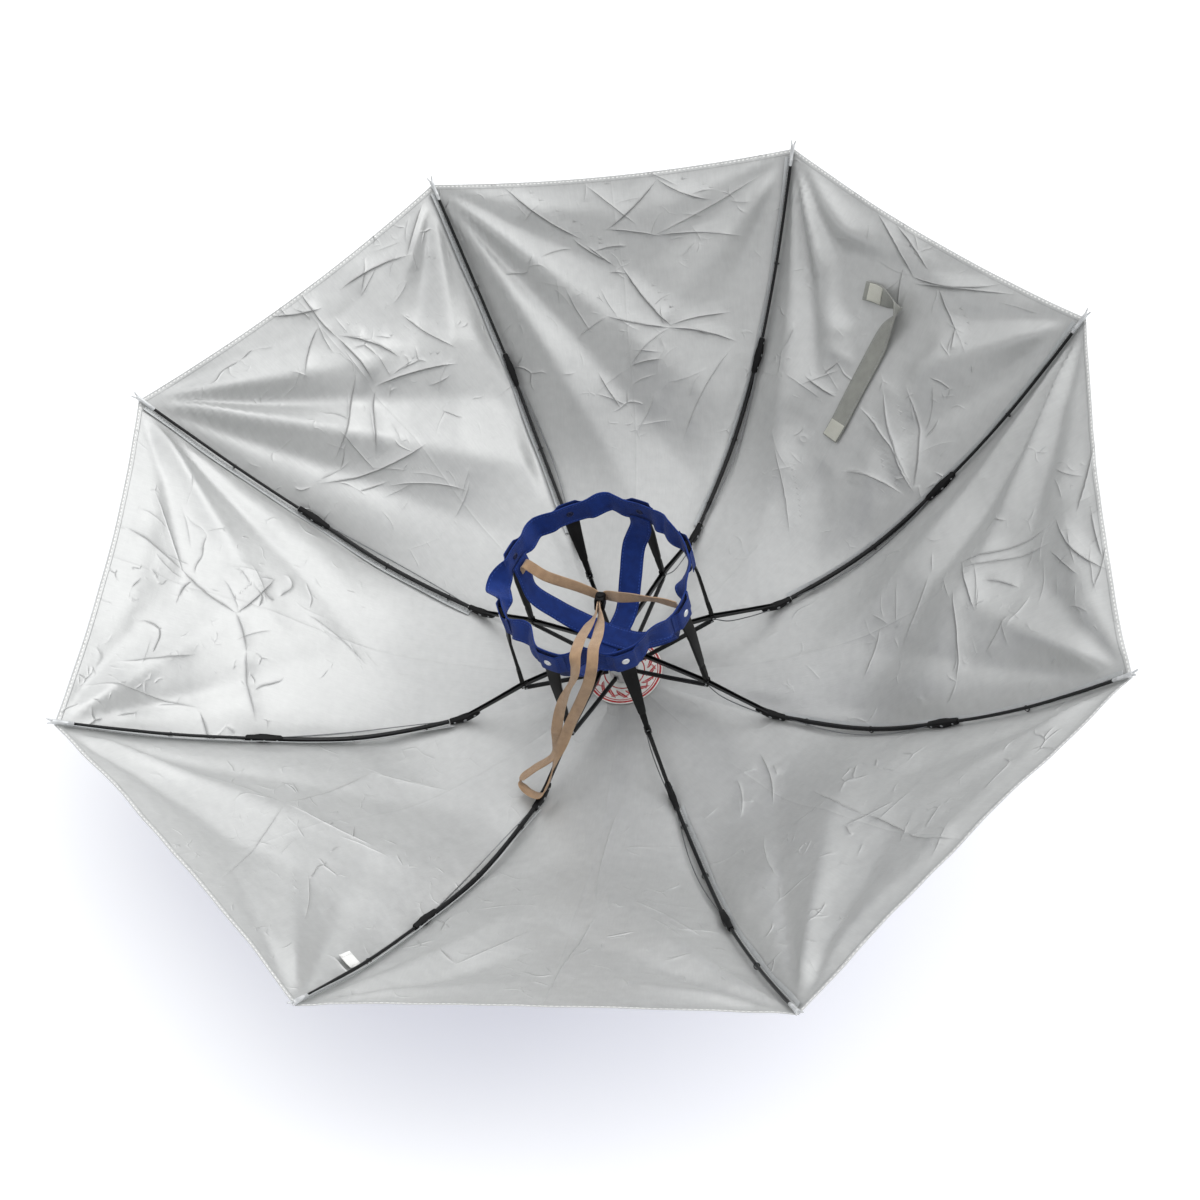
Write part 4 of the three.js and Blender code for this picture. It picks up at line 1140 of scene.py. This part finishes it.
# The crown
def crown_cap():
    seat = float(cloth_height(20)) + CLOTH_WALL + GAP + 0.25
    centre = (FLOOR_DISTANCE - DOME_RADIUS) / math.cos(math.radians(LEAN_ANGLE))
    start = max(0.0, math.asin((seat - centre) / DOME_RADIUS))
    base = DOME_RADIUS * math.cos(start)
    outline = [(0, seat), (base - 1.0, seat), (base, seat + 0.6)]
    for share in np.linspace(0.12, 0.985, 26):
        a = lerp(start, math.pi / 2, share)
        groove = 0.5 * math.exp(-((share - 0.3) / 0.02) ** 2) + 0.4 * math.exp(-((share - 0.72) / 0.02) ** 2)
        radius = DOME_RADIUS - groove
        outline.append((radius * math.cos(a), centre + radius * math.sin(a)))
    outline.append((0.02, centre + DOME_RADIUS))
    shape = Shape()
    shape.lathe([(max(r, 0.02), z) for r, z in outline], 0, 64)
    shape.build("crown_cap_dome", [CAP_PLASTIC], ["crown_cap"], 30)


def crown_disc():
    """The round printed patch under the crown, slightly rippled. Its flat coordinates start at its middle."""
    angles = np.arange(96) * 2 * np.pi / 96
    radii = np.array([0.5, 4, 8, 14, 20, 26, 31, 34, 36, 36.8, 37])
    top = np.where(radii < 8, float(cloth_height(8)), cloth_height(np.minimum(radii + 3, 40))) - 2 * GAP
    ripple = 0.25 * np.sin(5 * angles) + 0.15 * np.sin(9 * angles + 1)
    upper = []
    lower = []
    for r, z in zip(radii, top):
        fall = np.minimum((r / 37) ** 3 * ripple, 0)
        upper.append(circle(r, angles, z - 0.25 + fall))
        lower.append(circle(r, angles, z - 0.8 - 0.25 + fall))
    rings = np.array(upper + lower[::-1])
    shape = Shape()
    shape.tube(rings)
    points = rings.reshape(-1, 3)
    shape.flats = [[points[i][:2] for i in face] for face in shape.faces]
    shape.build("crown_disc_print", [DISC_PRINT], ["crown_disc"])


def slots_at_ribs(depth, low, high, half_angle):
    """A radius that steps in at each rib, between two heights."""
    centres = np.radians(INNER_TURN + RIB_PITCH * np.arange(RIB_COUNT))

    def notch(r, z, angles):
        off = np.abs((angles[:, None] - centres[None, :] + np.pi) % (2 * np.pi) - np.pi).min(axis=1)
        inside = (off < math.radians(half_angle)) & (low < z < high)
        return np.where(inside, np.maximum(r - depth, 0.1), r)

    return notch


def hub():
    top = float(cloth_height(8)) - 3 * GAP - 0.8
    outline = [(0.1, 184), (7.2, 184), (STEM_RADIUS, 184.8), (STEM_RADIUS, 222), (10, 223), (13.2, 224)]
    outline += [(HUB_RADIUS, z) for z in (225, 227.4, 227.5, 234.4, 234.5, top - 1.2)]
    outline += [(13, top - 0.4), (0.1, top - 0.2)]
    shape = Shape()
    shape.lathe(outline, 0, 160, notch=slots_at_ribs(4.5, 227.45, 234.45, 8.5))
    shape.build("hub_body", [HUB_PLASTIC], ["hub"], 35)


def runner():
    inside = STEM_RADIUS + GAP
    outline = [(17.2, 187), (18.4, 187.5)]
    outline += [(RUNNER_RADIUS, z) for z in (190, 191.4, 191.5, 197.4, 197.5, 200)]
    outline += [(RUNNER_RADIUS - 1, 201.6), (RUNNER_RADIUS - 3, 203), (14, 203), (13.4, 202), (11, 202),
                (10.4, 203), (inside, 203), (inside, 187), (10.5, 187), (11, 188), (13.5, 188), (14, 187)]
    shape = Shape()
    shape.lathe(outline, 0, 160, notch=slots_at_ribs(3.0, 191.45, 197.45, 6.5), closed=True)
    shape.build("runner_ring", [RUNNER_PLASTIC], ["runner"], 35)


# Ribbons
def ribbon_frames(stations, steps=12):
    """Centre, across, up and tangent along a ribbon through stations of point and across direction."""
    count = (len(stations) - 1) * steps
    centre = spline([s[0] for s in stations], count)
    tangent = unit(np.gradient(centre, axis=0))
    across = spline([unit(s[1]) for s in stations], count, centripetal=False)
    across = unit(across - tangent * np.sum(across * tangent, axis=1, keepdims=True))
    up = np.cross(across, tangent)
    return centre, across, up, tangent


def ribbon_rings(frames, width, wall, cup=None, bead=0.0):
    """Rings over a ribbon, with rounded edges. cup bends its edges up by so many mm along the length."""
    centre, across, up, _ = frames
    spots = np.array([-1, -0.96, -0.7, -0.35, 0, 0.35, 0.7, 0.96, 1])
    half = np.array([0.25, 0.8, 1 + bead, 1, 1, 1, 1 + bead, 0.8, 0.25]) * wall / 2
    cup = np.zeros(len(centre)) if cup is None else cup
    rings = []
    for c, a, n, bow in zip(centre, across, up, cup):
        middle = c + a * (spots[:, None] * width / 2) + n * (bow * spots[:, None] ** 2)
        top = middle + n * half[:, None]
        low = middle - n * half[:, None]
        rings.append(np.vstack([top, low[::-1]]))
    flats = np.concatenate([(spots + 1) / 2 * width, ((spots + 1) / 2 * width)[::-1]])
    return np.array(rings), flats


def ribbon_piece(name, stations, width, wall, material, node, steps, cup):
    """A ribbon through the stations. cup(t) bends its edges up by so many mm at share t of its length."""
    frames = ribbon_frames(stations, steps)
    rings, flats = ribbon_rings(frames, width, wall, cup(np.linspace(0, 1, len(frames[0]))))
    shape = Shape()
    shape.tube(rings, flats=flats)
    shape.build(name, [material], [node], 50)


# The head band
BAND_ZIGZAG = 7.0


def band_point(azimuth, x, y):
    """A point of the band: x out from its middle surface and y up from its middle line."""
    turned = (azimuth - INNER_TURN) % 360
    bay_number = (turned / RIB_PITCH).astype(int) % RIB_COUNT
    out, sink, tip = np.array(BAND_BAYS, float)[bay_number].T
    part = (turned % RIB_PITCH) / RIB_PITCH
    slack = np.sin(np.pi * np.clip((part - 0.16) / 0.68, 0, 1)) ** 1.5
    peak = np.sin(np.pi * np.clip((part - 0.2) / 0.6, 0, 1))
    zigzag = np.abs((3.5 * part + 0.3 * bay_number) % 2 - 1) - 0.5
    kink = BAND_ZIGZAG * zigzag * peak * (1 + 0.03 * y)
    buckle = 0.07 * y * np.sin(4 * np.pi * part + bay_number) * peak
    curl = (y / (BAND_HEIGHT / 2)) ** 2 * 1.6 * peak * np.sin(bay_number * 2.1 + 1)
    angle = np.radians(tip * slack)
    x = x + kink + curl + buckle
    r = BAND_RADIUS + out * slack + x * np.cos(angle) - y * np.sin(angle)
    z = BAND_MIDDLE + sink * slack + x * np.sin(angle) + y * np.cos(angle)
    a = np.radians(azimuth)
    return np.stack([r * np.cos(a), r * np.sin(a), z], axis=-1)


def head_band():
    steps = 8 * 44
    azimuth = INNER_TURN + np.arange(steps) * 360 / steps
    spots = np.array([-1, -0.97, -0.86, -0.8, -0.5, -0.2, 0.2, 0.5, 0.8, 0.86, 0.97, 1]) * BAND_HEIGHT / 2
    half = np.array([0.3, 0.9, 1.0, 0.72, 0.9, 0.92, 0.92, 0.9, 0.72, 1.0, 0.9, 0.3]) * BAND_WALL / 2
    rings = []
    for a in azimuth:
        here = np.full(len(spots), a)
        rings.append(np.vstack([band_point(here, half, spots), band_point(here, -half, spots)[::-1]]))
    flats = np.concatenate([spots + BAND_HEIGHT / 2, (spots + BAND_HEIGHT / 2)[::-1]])
    shape = Shape()
    shape.tube(np.array(rings), closed=True, flats=flats)
    for k in range(RIB_COUNT):
        snap(shape, INNER_TURN + RIB_PITCH * k, BAND_RADIUS - BAND_WALL / 2 + 0.1, -1, 1)
    shape.build("head_band_cloth", [BAND_CLOTH, STUD_METAL], ["head_band"], 50)


def snap(shape, azimuth, radius, facing, slot):
    """A press stud: a rim, a low ring and a dimple. facing is 1 outward and -1 toward the head."""
    outward = polar(1, azimuth, 0) * facing
    side = polar(1, azimuth + 90, 0)
    basis = np.array([side, np.cross(outward, side), outward])
    outline = [(0.05, -0.2), (3.5, -0.2), (3.5, 0.25), (3.1, 0.7), (2.6, 0.9), (2.0, 0.8), (1.7, 0.45),
               (1.2, 0.4), (0.05, 0.4)]
    shape.lathe(outline, slot, 28, at=polar(radius, azimuth, BAND_MIDDLE - 1), basis=basis)


def band_sleeve(k):
    """The band's second layer, which wraps each post's end and closes with a press stud."""
    azimuth = INNER_TURN + RIB_PITCH * (k - 1)
    face = BAND_RADIUS + BAND_WALL / 2 + GAP
    outer = face + 1.2 + 1.2 + 0.55
    tangent = polar(1, azimuth + 90, 0)
    radial = polar(1, azimuth, 0)
    across = np.array([-15.5, -14.5, -13, -11, -9.5, -8.2, -6, -3, 0, 3, 6, 8.2, 9.5, 11, 13, 14.5, 15.5])
    bulge = np.interp(np.abs(across), [0, 8.2, 9.5, 11.5, 13, 15.5], [1, 0.98, 0.8, 0.25, 0.04, 0])
    heights = np.array([-12.2, -11.9, -10.5, -9.6, -5, 0, 5, 9.6, 10.5, 11.9, 12.2])
    inner = BAND_RADIUS + BAND_WALL / 2 + 0.15
    curve = BAND_RADIUS - np.sqrt(BAND_RADIUS**2 - across**2)
    rings = []
    for y in heights:
        thin = 0.35 if abs(y) > 12 else 0.8
        pucker = 0.12 * math.sin(2.1 * y + k) * (np.abs(across) / 15.5)
        middle = lerp(inner, outer, bulge) - curve * (1 - 0.3 * bulge) + 0.4 + pucker
        spots = np.concatenate([middle + thin / 2, (middle - thin / 2)[::-1]])
        sides = np.concatenate([across, across[::-1]])
        z = BAND_MIDDLE + y
        rings.append(radial * spots[:, None] + tangent * sides[:, None] + np.array([0, 0, z]))
    shape = Shape()
    flats = heights[0] + across + 26
    shape.tube(np.array(rings), flats=np.concatenate([flats, flats[::-1]]))
    snap(shape, azimuth, outer + 0.75, 1, 1)
    shape.build(f"band_sleeve_{k}", [SLEEVE_CLOTH, SNAP_ENAMEL], sharp=50)


def crown_strap(name, k, height, node):
    """A strap over the head from the band beside rib k to the one opposite."""
    a = INNER_TURN + RIB_PITCH * (k - 1)
    inside = BAND_RADIUS - BAND_WALL - GAP - 1.5
    half = [(inside, BAND_MIDDLE + 5.5, 0), (inside - 1.5, BAND_MIDDLE + 18, 0), (74, 135, -6),
            (52, 157, -5), (26, height - 4, 0)]

    def across(azimuth):
        return polar(1, azimuth + 90, 0)

    near = [(polar(r, a + turn, z), across(a + 3 * turn)) for r, z, turn in half]
    far = [(polar(r, a + 180 + turn, z), -across(a + 180 + 3 * turn)) for r, z, turn in half]
    stations = near + [(np.array([0, 0, height]), across(a))] + far[::-1]
    ribbon_piece(name, stations, CROWN_STRAP_WIDTH, BAND_WALL, CROWN_STRAP_CLOTH, node, 14,
                 lambda t: 1.1 * np.sin(t * 17 + k) * np.sin(np.pi * t))


# The chin strap and its lock
STRAP_ANGLE = 3 * RIB_PITCH + INNER_TURN
STRAP_END = BAND_RADIUS - BAND_WALL / 2 - 1 - 2 * GAP
LOCK_CENTRE = np.array([-4.0, -2.0, 116.0])
LOCK_AXIS = unit([-0.87, -0.39, -0.3])
ARM_LINE = polar(1, STRAP_ANGLE + 180, 0)
LOCK_UP = unit(ARM_LINE - LOCK_AXIS * (ARM_LINE @ LOCK_AXIS))
LOCK_SIDE = unit(np.cross(LOCK_AXIS, LOCK_UP))


def in_lock(forward, up):
    return LOCK_CENTRE + LOCK_AXIS * forward + LOCK_UP * up


def chin_strap_stations():
    arm = polar(1, STRAP_ANGLE + 90, 0)
    layer = 0.85
    return [
        (polar(79.4, STRAP_ANGLE + 180, 112), arm),
        (polar(79.6, STRAP_ANGLE + 180, 105), arm),
        (polar(77, STRAP_ANGLE + 180, 100.5), arm),
        (polar(70, STRAP_ANGLE + 180, 103.5), (-0.75, -0.75, 0.35)),
        (polar(58, STRAP_ANGLE + 180, 110), (-0.7, -0.7, 0.6)),
        (polar(22, STRAP_ANGLE + 182, 112), (-0.4, -0.4, 0.8)),
        (in_lock(-8.5, 3.2), LOCK_SIDE),
        (in_lock(-3, layer), LOCK_SIDE),
        (in_lock(10, layer), LOCK_SIDE),
        ((-41, -21, 93), (0.3, -0.9, 0.2)),
        ((-67, -34, 74), (0.4, -0.9, 0)),
        ((-82, -42, 70.5), (0.4, -0.9, 0)),
        ((-89, -46, 80), (0.7, -0.6, 0.3)),
        ((-88, -54, 100), (0.9, -0.1, 0.6)),
        ((-86, -68, 128), (0.7, -0.7, 0.3)),
        ((-88.5, -79, 155), (0.4, -0.9, 0)),
        ((-90, -85, 178), (0.7, -0.6, 0.4)),
        ((-91, -93, 193), (1, -0.1, 0.5)),
        ((-88, -113, 206), (1, 0.1, 0.3)),
        ((-90, -127, 213), (1, 0.2, 0.3)),
        ((-101, -125, 215), (0.8, 0.5, 0.5)),
        ((-112, -115, 214), (0.8, 0.6, 0.5)),
        ((-107, -105, 209), (0.8, 0.5, 0.6)),
        ((-100, -96, 199), (0.9, 0.2, 0.6)),
        ((-97, -89.5, 187), (0.8, -0.4, 0.5)),
        ((-96, -78, 168), (0.5, -0.8, 0.2)),
        ((-95, -66, 146), (0.4, -0.9, 0)),
        ((-96, -51, 118), (0.6, -0.8, 0.2)),
        ((-98, -39, 92), (0.5, -0.9, 0)),
        ((-94, -31, 75), (0.4, -0.9, 0)),
        ((-82, -25, 70.5), (0.4, -0.9, 0)),
        ((-68, -18, 76), (0.3, -0.9, 0)),
        ((-46, -12, 92), (0.2, -0.9, 0.3)),
        (in_lock(10, -layer), LOCK_SIDE),
        (in_lock(-3, -layer), LOCK_SIDE),
        (in_lock(-8.5, -3.2), LOCK_SIDE),
        (polar(22, STRAP_ANGLE - 2, 105), (-0.3, -0.3, 0.9)),
        (polar(55, STRAP_ANGLE, 89), (0.15, 0.15, 1)),
        (polar(STRAP_END - 11, STRAP_ANGLE, 84.8), (0, 0, 1)),
        (polar(STRAP_END, STRAP_ANGLE, 84), (0, 0, 1)),
    ]


def chin_strap():
    ribbon_piece("chin_strap_webbing", chin_strap_stations(), STRAP_WIDTH, STRAP_WALL, WEBBING,
                 "chin_strap", 12, lambda t: 0.35 * np.sin(40 * t))


def cord_lock():
    """A flat black lock with a slot for the webbing and a round push button on each side."""
    shape = Shape()
    basis = np.array([LOCK_SIDE, LOCK_UP, LOCK_AXIS])

    outer = [(-6.0, 13.4, 8.2), (-5.4, 14.6, 9.2), (-4.4, 15, 9.6)]
    outer += [(-forward, wide, high) for forward, wide, high in reversed(outer)]
    inner = [(6.0, 12.2, 6.2), (5.2, 11.4, 5.2), (-5.2, 11.4, 5.2), (-6.0, 12.2, 6.2)]
    rings = []
    for part, corner in ((outer, 3.2), (inner, 1.2)):
        for forward, wide, high in part:
            flat = [(*spot, forward) for spot in rounded_section(wide, high, corner, 5)]
            rings.append(np.array(flat) @ basis + LOCK_CENTRE)
    shape.tube(np.array(rings), closed=True)
    button_basis = np.array([LOCK_AXIS, LOCK_UP, np.cross(LOCK_AXIS, LOCK_UP)])
    button = [(0.05, 7.0), (3.0, 7.0), (3.6, 7.3), (3.6, 8.0), (3.2, 8.6), (2.2, 8.8), (2.0, 8.5),
              (0.05, 8.5)]
    for side in (-1, 1):
        shape.lathe(button, 0, 24, at=LOCK_CENTRE, basis=button_basis * np.array([[1], [1], [side]]))
    shape.build("cord_lock_body", [NYLON], ["cord_lock"])


# The tie strap and the label
def cloth_place(k, s, u, lift):
    """A point on the cloth of gore k, lift mm to its inner side."""
    point, outward, _ = cloth_frame(k, np.array(s, float), np.array(u, float))
    return point - outward * lift


def turn_about(vector, axis, degrees):
    a = math.radians(degrees)
    axis = unit(axis)
    return (vector * math.cos(a) + np.cross(axis, vector) * math.sin(a)
            + axis * (axis @ vector) * (1 - math.cos(a)))


def tie_strap():
    points = [cloth_place(TIE_GORE, s, u, lift) for s, u, lift, _ in TIE_STATIONS]
    tangents = unit(np.gradient(np.array(points), axis=0))
    stations = []
    for at, along, (s, u, lift, twist) in zip(points, tangents, TIE_STATIONS):
        up = unit(cloth_place(TIE_GORE, s, u, lift + 1) - at)
        stations.append((at, turn_about(np.cross(up, along), along, twist)))
    frames = ribbon_frames(stations, 14)
    rings, flats = ribbon_rings(frames, TIE_WIDTH, TIE_WALL, bead=0.1)
    shape = Shape()
    shape.tube(rings, flats=flats)
    lengths = path_lengths(frames[0])
    s, u, lift, _ = TIE_STATIONS[0]
    side = 1 if frames[2][0] @ (cloth_place(TIE_GORE, s, u, lift + 1) - points[0]) > 0 else -1
    for start in (5.0, lengths[-1] - 18.0):
        end = start + PATCH_LENGTH
        picked = (lengths >= start) & (lengths <= end)
        middle, across, up, along = (values[picked] for values in frames)
        patch, patch_flats = ribbon_rings((middle + up * side, across, up, along), PATCH_WIDTH, PATCH_WALL)
        shape.tube(patch, 1, flats=patch_flats)
    shape.build("tie_strap_tape", [TIE_TAPE, HOOK_TAPE], ["tie_strap"], 50)


def care_label():
    stations = []
    for i, s in enumerate((0.818, 0.833, 0.848)):
        at = cloth_place(6, s, 0.034, 2.9 + i * 0.8)
        stations.append((at, cloth_place(6, s, 0.054, 3.9 + i * 0.8) - at))
    ribbon_piece("care_label_cloth", stations, LABEL_WIDTH, LABEL_WALL, LABEL_CLOTH,
                 "care_label", 12, lambda t: 0.7 * np.sin(7 * t) * t)


# Making the pieces
canopy_sheet = canopy()
flat_area = RIB_COUNT * gore_area()
for number in range(1, RIB_COUNT + 1):
    for make in (seam_strip, stretcher, hub_link, middle_rib, tip_rod, band_post, rib_threads, band_sleeve):
        make(number)
for make in (crown_cap, crown_disc, hub, runner, head_band):
    make()
crown_strap("crown_strap_over", 2, CROWN_HEIGHT, "crown_strap_1")
crown_strap("crown_strap_under", 4, CROWN_HEIGHT - BAND_WALL - 1, "crown_strap_2")
chin_strap()
cord_lock()
tie_strap()
care_label()


# The floor, the lights and the camera
FLOOR_HALF = 40.0
FLOOR_GLOW = 0.45
KEY_FROM = (0.70, 0.22, 0.68)
KEY_POWER = 0.62
KEY_SPREAD = 40
WORLD_FROM = (0.44, 0.38, 0.81)
WORLD_DIM = 0.5
WORLD_BRIGHT = 1.55


def floor():
    mesh = bpy.data.meshes.new("studio_floor")
    corners = [(x * FLOOR_HALF, y * FLOOR_HALF, 0) for x, y in ((-1, -1), (1, -1), (1, 1), (-1, 1))]
    mesh.from_pydata(corners, [], [(0, 1, 2, 3)])
    piece = bpy.data.objects.new("studio_floor", mesh)
    bpy.context.scene.collection.objects.link(piece)
    material, tree, shader = new_material("studio_paper", 0.9, Emission_Color=(1, 1, 1, 1),
                                          Emission_Strength=FLOOR_GLOW)
    place = object_coordinates(tree)
    tone = blend_colours(cloud(place, 300, 2), (205, 206, 207), (209, 210, 211))
    connect(tone, shader.inputs["Base Color"])
    mesh.materials.append(material)


def camera():
    data = bpy.data.cameras.new("camera")
    data.lens = CAMERA_LENS
    data.sensor_width = 36
    forward = Vector(CAMERA_FORWARD).normalized()
    right = Vector((1, 0, CAMERA_ROLL))
    right = (right - forward * right.dot(forward)).normalized()
    up = right.cross(forward)
    eye = bpy.data.objects.new("camera", data)
    turned = Matrix((right, up, -forward)).transposed().to_4x4()
    eye.matrix_world = Matrix.Translation(CAMERA_AT) @ turned
    bpy.context.scene.collection.objects.link(eye)
    bpy.context.scene.camera = eye


def studio_world():
    """Even light from all round, a little stronger from the side of the key light."""
    world = bpy.data.worlds.new("studio")
    world.use_nodes = True
    tree = world.node_tree
    toward = add_node(tree, "TexCoord", output="Generated")
    facing = add_node(tree, "VectorMath", {0: toward, 1: WORLD_FROM}, "Value", operation="DOT_PRODUCT")
    connect((0.99, 0.995, 1.0, 1), tree.nodes["Background"].inputs[0])
    connect(remap(facing, -0.5, 1.0, WORLD_DIM, WORLD_BRIGHT), tree.nodes["Background"].inputs[1])
    bpy.context.scene.world = world


def key_light():
    data = bpy.data.lights.new("key", "SUN")
    data.energy = KEY_POWER
    data.angle = math.radians(KEY_SPREAD)
    data.color = (1.0, 0.995, 0.985)
    light = bpy.data.objects.new("key", data)
    light.rotation_euler = (-Vector(KEY_FROM)).to_track_quat("-Z", "Y").to_euler()
    bpy.context.scene.collection.objects.link(light)


floor()
studio_world()
key_light()
camera()
bpy.context.scene.view_settings.view_transform = "Standard"
bpy.context.scene.view_settings.look = "None"
